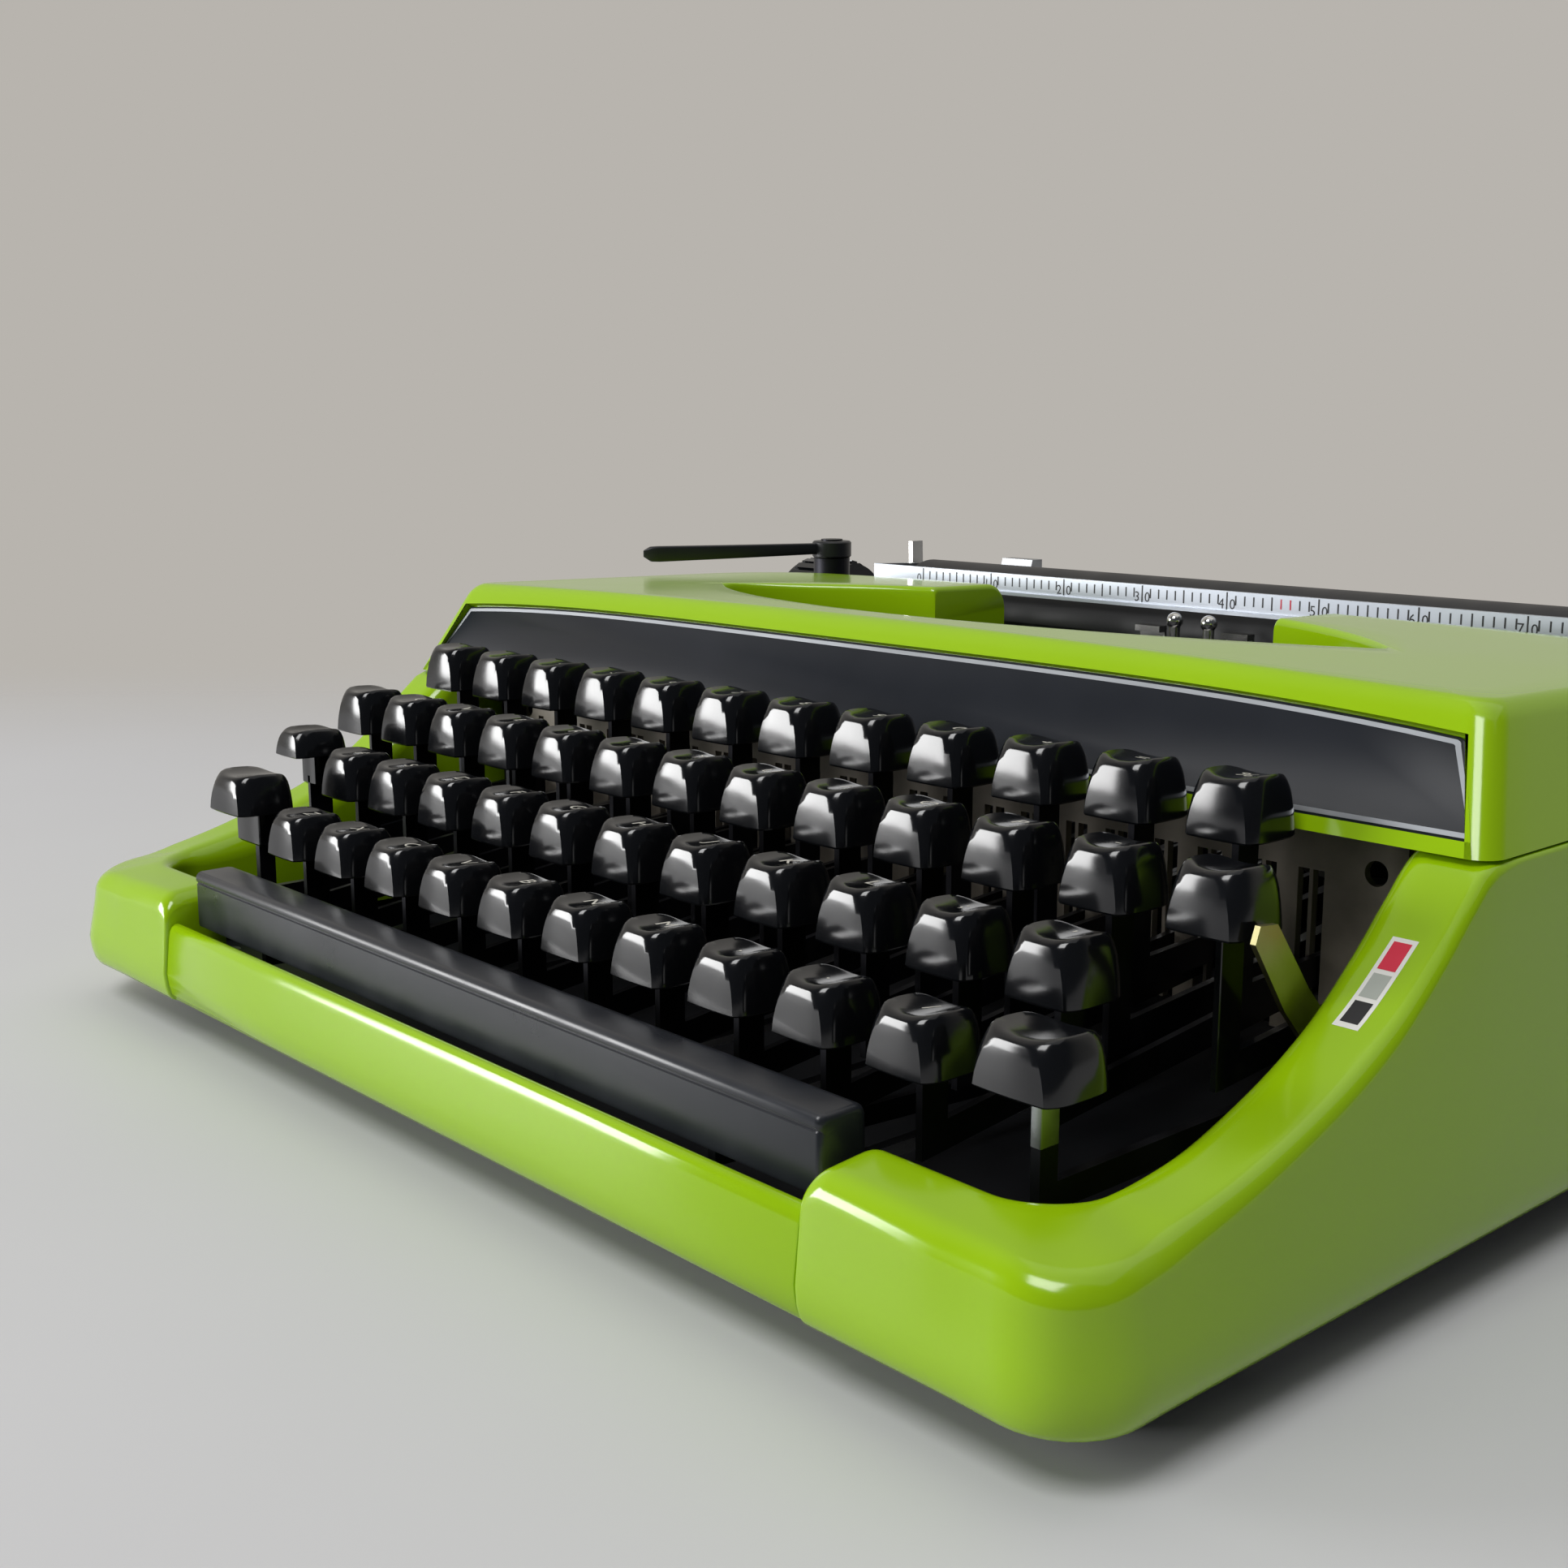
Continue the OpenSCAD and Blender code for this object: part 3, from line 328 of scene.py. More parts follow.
# Colour mark: a thin printed foil stuck on the right arm beside the ribbon lever, with a white edge and
# one field for each place of the lever.
# Printed vinyl: flat inks under a clear film, so each colour is even and half gloss.
white_ink = surface("white_ink_on_vinyl", "#D9D8D2", "#E3E2DC", 4, (0.32, 0.4), 0.2, 0.004)
red_ink = surface("red_ink_on_vinyl", "#C8203C", "#D02844", 4, (0.32, 0.4), 0.2, 0.004)
black_ink = surface("black_ink_on_vinyl", "#1B1B1E", "#232326", 4, (0.32, 0.4), 0.2, 0.004)
grey_ink = surface("grey_ink_on_vinyl", "#9DA29A", "#A9AEA6", 4, (0.32, 0.4), 0.2, 0.004)
MARK_SHEAR, MARK_START = 0.04, 63
EDGE_LIFT, FIELD_LIFT = 0.04, 0.08


def foil(x0, x1, y0, y1, lift):
    """A strip of foil that lies on the right arm's slope."""
    rows = []
    for y in spread(y0, y1, 8):
        shift = MARK_SHEAR * (y - MARK_START)
        rows.append([(x + shift, y, ridge(y) + lift) for x in (x0, x1)])
    return loft(rows, closed_rows=False, ends=False)


piece("colour_mark_edge", foil(129.5, 133.4, 63.2, 76.4, EDGE_LIFT), white_ink, "machine",
      "scale_aluminium")
for field, y0, y1, ink, slot in (("black", 64.0, 67.4, black_ink, "panel_black"),
                                 ("white", 68.0, 71.4, grey_ink, "scale_aluminium"),
                                 ("red", 72.0, 75.8, red_ink, "panel_black")):
    piece("colour_mark_" + field, foil(130.1, 132.8, y0, y1, FIELD_LIFT), ink, "machine", slot)

# Frame inside: folded sheet steel plates, blackened and mostly in the dark, with nickel plated rods and
# rails and the slotted comb that keeps the key levers apart.
# Phosphated sheet: a dull brownish grey with cloudy stains.
phosphated_steel = surface("phosphated_sheet_steel", "#6E675E", "#938A7D", 5, (0.42, 0.58), 0.5, 0.03,
                           Metallic=0.15)
# Blackened spring steel: dark, with a dull oily sheen.
blackened_steel = surface("blackened_spring_steel", "#1C1C1E", "#34343A", 8, (0.30, 0.45), 0.6, 0.015,
                          Metallic=0.85)
# Nickel plate: bright and slightly warm, with a soft polish.
nickel_plate = surface("polished_nickel_plate", "#C9C8C4", "#DBDAD6", 10, (0.12, 0.2), 0.4, 0.006,
                       Metallic=1.0)
finish(blackened_steel, "main_frame", "type_segment")
finish(phosphated_steel, "key_comb")
finish(nickel_plate, "fulcrum_rod", "guide_rails", "cover_hinge_pins")

# Ribbon colour lever: a flat blade stamped from steel and yellow passivated, bent towards the typist
# beside the comb.
# Yellow passivated zinc: a pale brass tint, satin and a little cloudy.
yellow_zinc = surface("yellow_passivated_steel", "#8F8A58", "#B9B388", 7, (0.28, 0.42), 0.5, 0.012,
                      Metallic=1.0)
finish(yellow_zinc, "selector_lever")

# Type basket: hardened typebars with their type slugs, standing in a fan, with the guide and the ribbon
# vibrator at the printing point.
# Ground steel: a dull grey shine with a fine grain.
ground_steel = surface("ground_tool_steel", "#5E5F62", "#85868A", 3, (0.30, 0.42), 0.3, 0.012,
                       Metallic=1.0)
finish(ground_steel, "typebars")
finish(nickel_plate, "type_guide", "ribbon_vibrator")


def ball(x, y, z, radius):
    """A turned ball."""
    rows = [[(x + radius * math.cos(up) * math.cos(2 * math.pi * i / 24),
              y + radius * math.cos(up) * math.sin(2 * math.pi * i / 24), z + radius * math.sin(up))
             for i in range(24)] for up in spread(-1.5, 1.5, 14)]
    return loft(rows)


TIP_X, TIP_Y, TIP_Z, TIP_RADIUS = 4.7, 206, 76.6, 1.9
piece("type_guide_tips", together(*[ball(s * TIP_X, TIP_Y, TIP_Z, TIP_RADIUS) for s in (-1, 1)]),
      nickel_plate, "machine", "bright_steel")

# Ribbon: a band of inked cotton that runs from spool to spool past the printing point. The moulded spools
# turn on pins in two plated cups at the sides of the basket.
# Inked cotton: matt black, with the uneven relief of its threads drawn about twice as coarse as they
# are, so that it shows.
inked_cotton = surface("inked_cotton_ribbon", "#0D0D10", "#1B1B20", 1.2, (0.75, 0.9), 0.5, 0.08,
                       stretch=(1, 1, 2.4), Sheen_Weight=0.2)
# Phenolic moulding: black, with a hard half gloss.
phenolic = surface("moulded_black_phenolic", "#151416", "#1F1E20", 8, (0.26, 0.36), 0.6, 0.01, IOR=1.6)
finish(inked_cotton, "ribbon")
finish(phenolic, "ribbon_spool_left", "ribbon_spool_right")
finish(zinc_plate, "spool_cups")

# Drive of the carriage: an escapement wheel cut from brass and, lower down, the rolled steel drum of the
# mainspring. Both turn on pins in the frame below the carriage.
# Machined brass: a warm yellow shine with a fine grain.
cut_brass = surface("machined_brass", "#9C7F3C", "#B59750", 4, (0.22, 0.34), 0.3, 0.01, Metallic=1.0)
finish(cut_brass, "escapement_wheel")
finish(zinc_plate, "mainspring_drum")

# Key levers: blades stamped from steel strip, turning on one rod behind the comb and cranked up to the
# caps. The shaft of the shift keys and the arms of the space bar are blackened like them.
finish(blackened_steel, "number_row_levers", "top_row_levers", "home_row_levers", "bottom_row_levers")
finish(blackened_steel, "shift_shaft", "space_bar_arms")

# Key caps: injection moulded in gloss black ABS, flared to the foot, with a flat facet cut across the
# bulging front and a dished top; each is pressed on its lever. The characters are moulded in white.
KEY_PITCH = 19.05
CAP_WIDTH, CAP_DEPTH, CAP_HEIGHT = 13.2, 11.4, 9.8
# each level: height below the top edge, draw-in at the sides, half width and y of the facet, and how far
# the rear lies in from the foot's back
CAP_LEVELS = ((-9.8, 0.25, 5.0, -1.0, 0.2), (-9.5, 0.0, 5.2, -1.14, 0.0), (-7.6, 0.15, 5.0, -1.06, 0.06),
              (-5.8, 0.35, 4.65, -0.93, 0.2), (-4.2, 0.6, 4.2, -0.78, 0.38), (-3.0, 0.85, 3.7, -0.64, 0.58),
              (-2.1, 1.05, 3.1, -0.52, 0.8), (-1.4, 1.22, 2.4, -0.4, 1.0), (-0.9, 1.36, 1.6, -0.28, 1.2),
              (-0.5, 1.5, 0.6, -0.1, 1.4), (-0.2, 1.68, 0, 0.25, 1.62), (0.0, 1.95, 0, 0.8, 1.95))
CAP_SIDE, CAP_FACET = 20, 9
CAP_FALL, CAP_CREASE = 0.05, 24
DISH, TOP_INSET, TOP_BAND = 0.8, 1.9, 3
CAP_BOW, FACET_BULGE = 1.3, 0.045
SQUARENESS, TOP_EASE = 4.6, 0.8


def cap_top(x, y, half):
    """How far the dished top lies below the top edge at a place on the cap."""
    return -DISH * (1 - min(1, (x / (half - TOP_INSET)) ** 2)) - CAP_FALL * y


def key_cap(x, y, z, width=CAP_WIDTH, depth=CAP_DEPTH, height=CAP_HEIGHT):
    """A sculpted cap with its top front edge at y, z."""
    half = width / 2
    rows = []
    for level, draw, facet_half, facet_y, back in CAP_LEVELS:
        near = 1 + level / TOP_BAND if level > -TOP_BAND else 0
        power = 2 / (SQUARENESS - TOP_EASE * near)
        a, y1 = half - draw, depth - back
        edge_x = facet_half * half / (CAP_WIDTH / 2)
        bow = CAP_BOW * (edge_x / half) ** 2
        # the bulging front is set forward so that it passes the facet's edges
        share = (1 - (edge_x / a) ** (2 / power)) ** (power / 2)
        y0 = (facet_y - bow - y1 * (1 - share) / 2) * 2 / (1 + share)

        def skin(turn):
            c, s = math.cos(turn), math.sin(turn)
            px = a * abs(c) ** power
            py = (y0 + y1) / 2 + (y1 - y0) / 2 * math.copysign(abs(s) ** power, s)
            return px, py + (CAP_BOW * (px / half) ** 2 if s < 0 else 0)

        start = -math.acos((edge_x / a) ** (1 / power)) if edge_x else -math.pi / 2
        right = [skin(turn) for turn in spread(start, math.pi / 2, CAP_SIDE)]
        facet = [(edge_x * t, right[0][1] - FACET_BULGE * edge_x * (1 - t * t))
                 for t in spread(-1, 1, CAP_FACET)[1:-1]]
        outline = facet + right + [(-px, py) for px, py in reversed(right[:-1])]
        rows.append([(x + px, y + py, z + level * height / CAP_HEIGHT + near ** 2 * cap_top(px, py, half))
                     for px, py in outline])
    middle = depth / 2
    for share in (0.82, 0.6, 0.36, 0.14):
        row = []
        for px, py, pz in rows[len(CAP_LEVELS) - 1]:
            qx, qy = (px - x) * share, middle + (py - y - middle) * share
            row.append((x + qx, y + qy, z + cap_top(qx, qy, half)))
        rows.append(row)
    return loft(rows)


def key_places(count, middle):
    """The x of each key in a row."""
    return [middle + (i - (count - 1) / 2) * KEY_PITCH for i in range(count)]


# Gloss ABS in black: deep, with soft reflections and a faint haze from handling.
black_abs = surface("black_gloss_abs", "#0A0B0D", "#101114", 9, (0.10, 0.17), 1.6, 0.004, IOR=1.53)
# White second shot of the moulding: slightly yellowed and matt.
white_shot = surface("white_moulded_abs", "#C9C6BC", "#D6D3C8", 3, (0.4, 0.5), 0.3, 0.004)


def characters(text, size):
    """Points and faces of flat characters, centred on the origin, in millimetres."""
    letters = bpy.data.curves.new("characters", "FONT")
    letters.body, letters.size, letters.resolution_u = text, size, 3
    letters.align_x, letters.align_y = "CENTER", "CENTER"
    holder = bpy.data.objects.new("characters", letters)
    bpy.context.scene.collection.objects.link(holder)
    seen = holder.evaluated_get(bpy.context.evaluated_depsgraph_get())
    flat = bpy.data.meshes.new_from_object(seen)
    shape = ([tuple(v.co) for v in flat.vertices], [tuple(p.vertices) for p in flat.polygons])
    bpy.data.objects.remove(holder)
    bpy.data.curves.remove(letters)
    bpy.data.meshes.remove(flat)
    return shape


def legend(text, x, y, z, size=4.2, width=CAP_WIDTH):
    """A character that lies on a cap's dished top."""
    points, faces = characters(text, size)
    middle = CAP_DEPTH / 2 + 0.3
    return [(x + px, y + middle + py, z + cap_top(px, middle + py, width / 2) + 0.03)
            for px, py, _ in points], faces


# each row: its name, number of keys, middle x, front y, top z, height of the caps and their characters
KEY_ROWS = (("bottom", 10, 5.5, 20.8, 45.9, 9.0, "ZXCVBNM,./"),
            ("home", 11, 4.65, 38.75, 54.75, CAP_HEIGHT, "ASDFGHJKL;'"),
            ("top", 11, -1.3, 56.7, 63.6, CAP_HEIGHT, "QWERTYUIOP-"),
            ("number", 12, -2.2, 74.65, 72.45, CAP_HEIGHT, "234567890+=%"))
for row_name, count, middle, y, z, height, marks in KEY_ROWS:
    places = key_places(count, middle)
    caps = together(*[key_cap(x, y, z, height=height) for x in places])
    signs = together(*[legend(mark, x, y, z) for mark, x in zip(marks, places)])
    piece(row_name + "_row_keytops", caps, black_abs, row_name + "_row", "key_black",
          row_name + "_row_caps", crease=CAP_CREASE)
    piece(row_name + "_row_characters", signs, white_shot, row_name + "_row", "scale_aluminium")

# Function keys: caps of the same ABS at both ends of the rows, the shift keys' wider than the rest, each
# moulded with a narrower neck that stands on a flat steel blade.


def post(x0, x1, y0, y1, z0, z1, edge=0.5):
    """A moulded block with softened upright edges."""
    rows = []
    for z, tuck in ((z0, edge), (z0 + edge, 0), (z1 - edge, 0), (z1, edge)):
        row = []
        for cx, cy, start in ((x1, y1, 0), (x0, y1, 90), (x0, y0, 180), (x1, y0, 270)):
            sx, sy = (1 if cx == x1 else -1), (1 if cy == y1 else -1)
            for turn in (0, 30, 60, 90):
                a = math.radians(start + turn)
                row.append((cx - sx * (edge + tuck) + edge * math.cos(a),
                            cy - sy * (edge + tuck) + edge * math.sin(a), z))
        rows.append(row)
    return loft(rows)


def blade(x, outline, thick):
    """A flat stamped blade from its side outline."""
    bevel = 0.15
    rows = []
    cy = sum(p[0] for p in outline) / len(outline)
    cz = sum(p[1] for p in outline) / len(outline)
    for px, tuck in ((x - thick / 2, bevel), (x - thick / 2 + bevel, 0), (x + thick / 2 - bevel, 0),
                     (x + thick / 2, bevel)):
        row = []
        for py, pz in outline:
            d = math.hypot(py - cy, pz - cz)
            row.append((px, py - (py - cy) / d * tuck, pz - (pz - cz) / d * tuck))
        rows.append(row)
    return loft(rows)


FULCRUM = (150, 40)


def side_key(x, y, z, width, height, lever_top, foot_z):
    """Cap, neck and lever of a function key."""
    lever_y = y + 6.5
    outline = [(lever_y - 2.5, lever_top), (lever_y - 2.5, foot_z - 2.5), (FULCRUM[0], FULCRUM[1] - 2.5)]
    outline += [(FULCRUM[0] + 4.2 * math.sin(a), FULCRUM[1] - 4.2 * math.cos(a))
                for a in spread(0.6, math.pi - 0.6, 9)]
    outline += [(FULCRUM[0], FULCRUM[1] + 2.5), (lever_y + 2.5, foot_z + 2.5), (lever_y + 2.5, lever_top)]
    return together(key_cap(x, y, z, width, height=height), blade(x, outline, 1.2),
                    post(x - 3, x + 3, y + 4, y + 9, lever_top - 2, z - height + 0.6))


SIDE_X = 6 * KEY_PITCH
TOP_MIDDLE, TOP_Y, TOP_Z = KEY_ROWS[2][2:5]
for name, x in (("backspace", TOP_MIDDLE + SIDE_X), ("margin_release", TOP_MIDDLE - SIDE_X)):
    piece(name + "_keytop", side_key(x, TOP_Y, TOP_Z, CAP_WIDTH, CAP_HEIGHT, 55.2, 33), black_abs, name,
          "key_black", name + "_key", crease=CAP_CREASE)
piece("lock_keytop", side_key(-111, 38.75, 57.15, 11.4, 6, 46.35, 29), black_abs, "lock", "key_black",
      "lock_key", crease=CAP_CREASE)
SHIFT_SKIRT = 8.4
# each shift key: its side, x, top z, width, half width of the neck and its length
SHIFT_KEYS = (("left", -103.4, 50.9, 16, 5, 7.2), ("right", 111.7, 47.9, 15, 2, 1.2))
for side, x, z, width, neck_half, neck in SHIFT_KEYS:
    foot = z - SHIFT_SKIRT
    shape = together(key_cap(x, 20.4, z, width, CAP_DEPTH + 0.4, SHIFT_SKIRT),
                     post(x - neck_half, x + neck_half, 24.3, 29.3, foot - neck, foot + 0.6))
    piece(side + "_shift_keytop", shape, black_abs, "shift", "key_black", side + "_shift_key",
          crease=CAP_CREASE)
piece("right_shift_stem", post(110.5, 112.3, 25.2, 28.9, 31, 38.6, 0.2), zinc_plate, "shift",
      "bright_steel")

# Space bar: one long moulding of the same black ABS, flat in front, with a fine groove below its rounded
# top edge, carried on two steel arms.
BAR_HALF = 91.2
BAR_MIDDLE, BAR_FOOT, BAR_DEPTH_HALF, BAR_TALL = 10.9, 23.4, 4.5, 11
bar_section = [(6.6, 23.4), (6.5, 23.8), (6.55, 32.0), (6.8, 32.2), (6.8, 32.45), (6.5, 32.65), (6.4, 33.0),
               (6.5, 33.6), (6.85, 34.1), (7.4, 34.37), (8.0, 34.4), (13.2, 34.4), (14.2, 34.2),
               (14.9, 33.7), (15.2, 32.9), (15.3, 28), (15.4, 23.8), (15.3, 23.4)]
bar_rows = []
for x, tuck in ((-BAR_HALF, 1.0), (-BAR_HALF + 0.15, 0.55), (-BAR_HALF + 0.5, 0.2), (-BAR_HALF + 1, 0),
                (-45, 0), (0, 0), (45, 0), (BAR_HALF - 1, 0), (BAR_HALF - 0.5, 0.2),
                (BAR_HALF - 0.15, 0.55), (BAR_HALF, 1.0)):
    bar_rows.append([(x, BAR_MIDDLE + (y - BAR_MIDDLE) * (1 - tuck / BAR_DEPTH_HALF),
                      BAR_FOOT + (z - BAR_FOOT) * (1 - tuck / BAR_TALL)) for y, z in bar_section])
# Black ABS dulled by thumbs: greyer than the caps, with a broad soft sheen.
worn_abs = surface("worn_black_abs", "#1D1F24", "#282B31", 12, (0.26, 0.4), 1.2, 0.006, IOR=1.53)
piece("space_bar_moulding", loft(bar_rows), worn_abs, "space", "key_black", "space_bar")

# Ribbon cover: a thin moulded lid in the case's lime ABS, crowned across the machine and falling a little
# to the rear. Its front leans back, its ends draw in, and a sunk seat takes the panel; a lens shaped
# opening shows the type basket. It swings up on two pins at its rear.
COVER_HALF, COVER_FRONT, COVER_REAR, COVER_TOP = 138, 86.6, 194, 85.6
COVER_FOOT, COVER_WALL, CROWN, COVER_FALL, RIM_Z = 63.3, 2.6, 2.2, 2.2, 76
LEAN, FLARE, FALL_START = 0.55, 0.33, 10
LEAN_COS = 1 / math.hypot(1, LEAN)
LEAN_SIN = LEAN * LEAN_COS
SEAT_LOW, SEAT_DEPTH = COVER_FOOT + 2.4 * LEAN_COS, 1.6
SEAT_HALF, SEAT_DRAW = 134.2, 0.4335
ARCH_END, ARCH_RISE, ARCH_HALF = 17.4, 3.4, 132
FRONT_LIP, LIP_GROWTH, RIM_ROUND, FRONT_THICK = 2.8, 3.4, 1.4, 4.6
GROWTH_START, LIP_CLEAR = 0.4, 0.05
WING_END, END_EDGE = 46, 1.2
FRONT_CORNER, REAR_CORNER = 4, 22
FRONT_ARC, REAR_ARC = (247, 137), (55.5, 123.4)
LENS_TIP, LENS_SIDE = (88, 142), 84


def cover_top(x, y):
    """Height of the crowned top."""
    start = COVER_FRONT + FALL_START
    return COVER_TOP - CROWN * (x / COVER_HALF) ** 2 - COVER_FALL * (y - start) / (COVER_REAR - start)


def cover_half(z):
    """Half width of the lid at a height."""
    return COVER_HALF - FLARE * (z - COVER_FOOT)


def cover_front(z):
    """The leaning front at a height."""
    return COVER_FRONT + LEAN * (z - COVER_FOOT)


def panel_arch(x):
    """How far up the leaning front the seat of the panel reaches; it follows the crown."""
    return ARCH_END + ARCH_RISE * (1 - min(1, abs(x) / ARCH_HALF) ** 4)


def cover_row(wall, inner, lip, rim, thick, seat=0, sink=0):
    """One cut through the lid from its foot over the top to the rim of the opening and back inside."""
    top_z = 84
    for _ in range(4):
        top_z = cover_top(*wall(top_z))
    edge = wall(top_z)
    across = math.hypot(inner[0] - edge[0], inner[1] - edge[1])
    ux, uy = (inner[0] - edge[0]) / across, (inner[1] - edge[1]) / across

    def top(inset, drop, base=edge):
        x, y = base[0] + ux * inset, base[1] + uy * inset
        return x, y, cover_top(x, y) - drop - sink

    foot = COVER_FOOT + max(0, wall(70)[1] - 184) * 0.67
    # the seat ends below the lip, so that the wall never passes it and folds back
    low = max(foot, SEAT_LOW)
    high = min(COVER_FOOT + panel_arch(edge[0]) * LEAN_COS, top_z - lip - sink - LIP_CLEAR)
    row = [(*wall(foot), foot), (*wall(low), low)]
    for z in (low, high):
        x, y = wall(z)
        row.append((x, y + seat * LEAN_COS, z - seat * LEAN_SIN))
    row.append((*wall(high), high))
    for turn in spread(0, math.pi / 2, 9):
        drop = lip * (1 - math.sin(turn))
        row.append(top(lip * (1 - math.cos(turn)), drop, wall(top_z - drop)))
    for share in spread(0, 1, 8)[1:-1]:
        row.append(top(lip + (across - lip - rim) * share, 0))
    for turn in spread(math.pi / 2, 0, 6):
        row.append(top(across - rim * (1 - math.cos(turn)), rim * (1 - math.sin(turn))))
    thin = min(COVER_WALL, across / 3)
    row += [(inner[0], inner[1], RIM_Z), (inner[0] - ux * thin, inner[1] - uy * thin, RIM_Z),
            top(across - thin, COVER_WALL), top(min(thick + 1, across / 2), COVER_WALL + 0.6)]
    x, y = wall(foot)
    row.append((x + ux * thick, y + uy * thick, foot))
    return row


def front_wall(share):
    """The front at a share of the panel seat's half length."""
    return lambda z: (share * (SEAT_HALF - SEAT_DRAW * (z - SEAT_LOW)), cover_front(z))


def corner_wall(turn):
    """The rounded front corner at a turn from front to side."""
    return lambda z: (cover_half(z) - FRONT_CORNER + FRONT_CORNER * math.sin(turn),
                      cover_front(z) + FRONT_CORNER - FRONT_CORNER * math.cos(turn))


def side_wall(share):
    """The side at a share of its length between the two corners."""
    return lambda z: (cover_half(z), (cover_front(z) + FRONT_CORNER) * (1 - share)
                      + (COVER_REAR - REAR_CORNER) * share)


def rear_wall(turn):
    """The rounded rear corner at a turn from side to rear."""
    return lambda z: (cover_half(z) - REAR_CORNER + REAR_CORNER * math.cos(turn),
                      COVER_REAR - REAR_CORNER + REAR_CORNER * math.sin(turn))


lid = []
for share in spread(0, 1, 17):
    lens_x = LENS_SIDE * share
    lens_y = FRONT_ARC[0] - math.sqrt(FRONT_ARC[1] ** 2 - lens_x ** 2)
    lid.append(cover_row(front_wall(share), (lens_x, lens_y), FRONT_LIP, RIM_ROUND, FRONT_THICK,
                         seat=SEAT_DEPTH))
tip_y = LENS_TIP[1] - 3
for k, turn in enumerate([None] + spread(0, math.pi / 2, 9)):
    wall = front_wall(1) if turn is None else corner_wall(turn)
    lid.append(cover_row(wall, (LENS_SIDE + 0.36 * k, tip_y - 0.3 + 0.3 * k), FRONT_LIP, RIM_ROUND,
                         FRONT_THICK - 0.2 * k))
rear_walls = [side_wall(share) for share in spread(0, 1, 12)[1:]]
rear_walls += [rear_wall(turn) for turn in spread(0, math.pi / 2, 12)[1:]]
rear_x = rear_walls[-1](82)[0]
rear_walls += [(lambda z, x=x: (x, COVER_REAR)) for x in spread(rear_x, WING_END + END_EDGE, 9)[1:]]
for i, wall in enumerate(rear_walls):
    lens_x = LENS_TIP[0] + (WING_END + END_EDGE - LENS_TIP[0]) * (i + 1) / len(rear_walls)
    lens_y = REAR_ARC[0] + math.sqrt(REAR_ARC[1] ** 2 - lens_x ** 2)
    lip = FRONT_LIP + LIP_GROWTH * max(0, i / len(rear_walls) - GROWTH_START)
    lid.append(cover_row(wall, (lens_x, lens_y), lip, RIM_ROUND, COVER_WALL))
end_lip = FRONT_LIP + LIP_GROWTH * (1 - GROWTH_START)
for turn in spread(0, math.pi / 2, 6)[1:]:
    x = WING_END + END_EDGE * (1 - math.sin(turn))
    lens_y = REAR_ARC[0] + math.sqrt(REAR_ARC[1] ** 2 - x ** 2)
    lid.append(cover_row(lambda z, x=x: (x, COVER_REAR), (x, lens_y), end_lip, RIM_ROUND, COVER_WALL,
                         sink=END_EDGE * (1 - math.cos(turn))))
half_lid = loft(lid)
# no end face at the front, where the two halves meet
half_lid[1].pop(-2)
# flat end of the wing, closed from the top down to the rim
half_lid[1][-1] = tuple(len(half_lid[0]) - len(lid[0]) + k for k in range(len(lid[0]) - 4))
EAR_X, EAR_THICK = 116, 4
ear_outline = [(181.5, 64), (189, 64), (189.6, 75), (189.6, 80.6), (177, 80.6)]
ears = [blade(s * EAR_X, ear_outline, EAR_THICK) for s in (-1, 1)]
piece("cover_moulding", together(half_lid, mirrored(half_lid), *ears), lime_abs, "cover", "case_green",
      "ribbon_cover")

# Panel on the cover's front: an aluminium plate glued into the sunk seat and silk screened satin black,
# with a bright line left bare just inside its edge.
# The narrow black band outside that line is painted shade of the gap round the seat.
# Screen printed black on aluminium: satin, with a very fine tooth; along the plate's edge it is also
# painted shade for the seat's gap.
panel_black = surface("satin_black_print_and_painted_shade", "#12151B", "#191D25", 30, (0.34, 0.42), 0.4, 0.004,
                      Specular_IOR_Level=0.22)
# Brushed aluminium: pale, its fine scratches running along the plate.
bare_aluminium = surface("brushed_bare_aluminium", "#A9ADB3", "#BBBFC4", 5, (0.34, 0.44), 0.3, 0.008,
                         stretch=(0.08, 1, 1), Metallic=1.0)


def panel_ring(inset, depth, corner):
    """One turn round the panel, an inset from its edge, at a depth behind the cover's leaning front."""
    flat = []
    top_end = 128.3 - inset
    for turn in (0, 30, 60):
        a = math.radians(turn)
        flat.append((top_end - corner + corner * math.cos(a),
                     panel_arch(top_end) - 0.2 - inset - corner + corner * math.sin(a)))
    flat += [(x, panel_arch(x) - 0.2 - inset) for x in spread(top_end - corner, 0, 17)]
    flat += [(-x, v) for x, v in reversed(flat[:-1])]
    low_end, low = 134.0 - inset, 2.6 + inset
    for start, sx in ((180, -1), (270, 1)):
        for turn in (0, 30, 60, 90):
            a = math.radians(start + turn)
            flat.append((sx * (low_end - corner) + corner * math.cos(a),
                         low + corner + corner * math.sin(a)))
    return [(x, COVER_FRONT + v * LEAN_SIN + depth * LEAN_COS,
             COVER_FOOT + v * LEAN_COS - depth * LEAN_SIN) for x, v in flat]


# each ring: inset from the plate's edge, depth behind the cover's front, radius of the corners
PLATE_RINGS = ((0, 1.6, 1.0), (0, 1.12, 1.0), (0.15, 1.0, 0.9))
# the bare line starts 0.5 mm inside the plate's edge, which leaves a black band of painted shade where the
# seat's gap is
BARE_RINGS = ((0.5, 1.0, 0.8), (0.5, 0.94, 0.8), (1.25, 0.94, 0.5), (1.25, 1.0, 0.5))
piece("panel_plate", loft([panel_ring(*ring) for ring in PLATE_RINGS]), panel_black, "cover",
      "panel_black", "name_panel")
piece("panel_bare_edge", loft([panel_ring(*ring) for ring in BARE_RINGS], ends=False), bare_aluminium,
      "cover", "bright_steel")

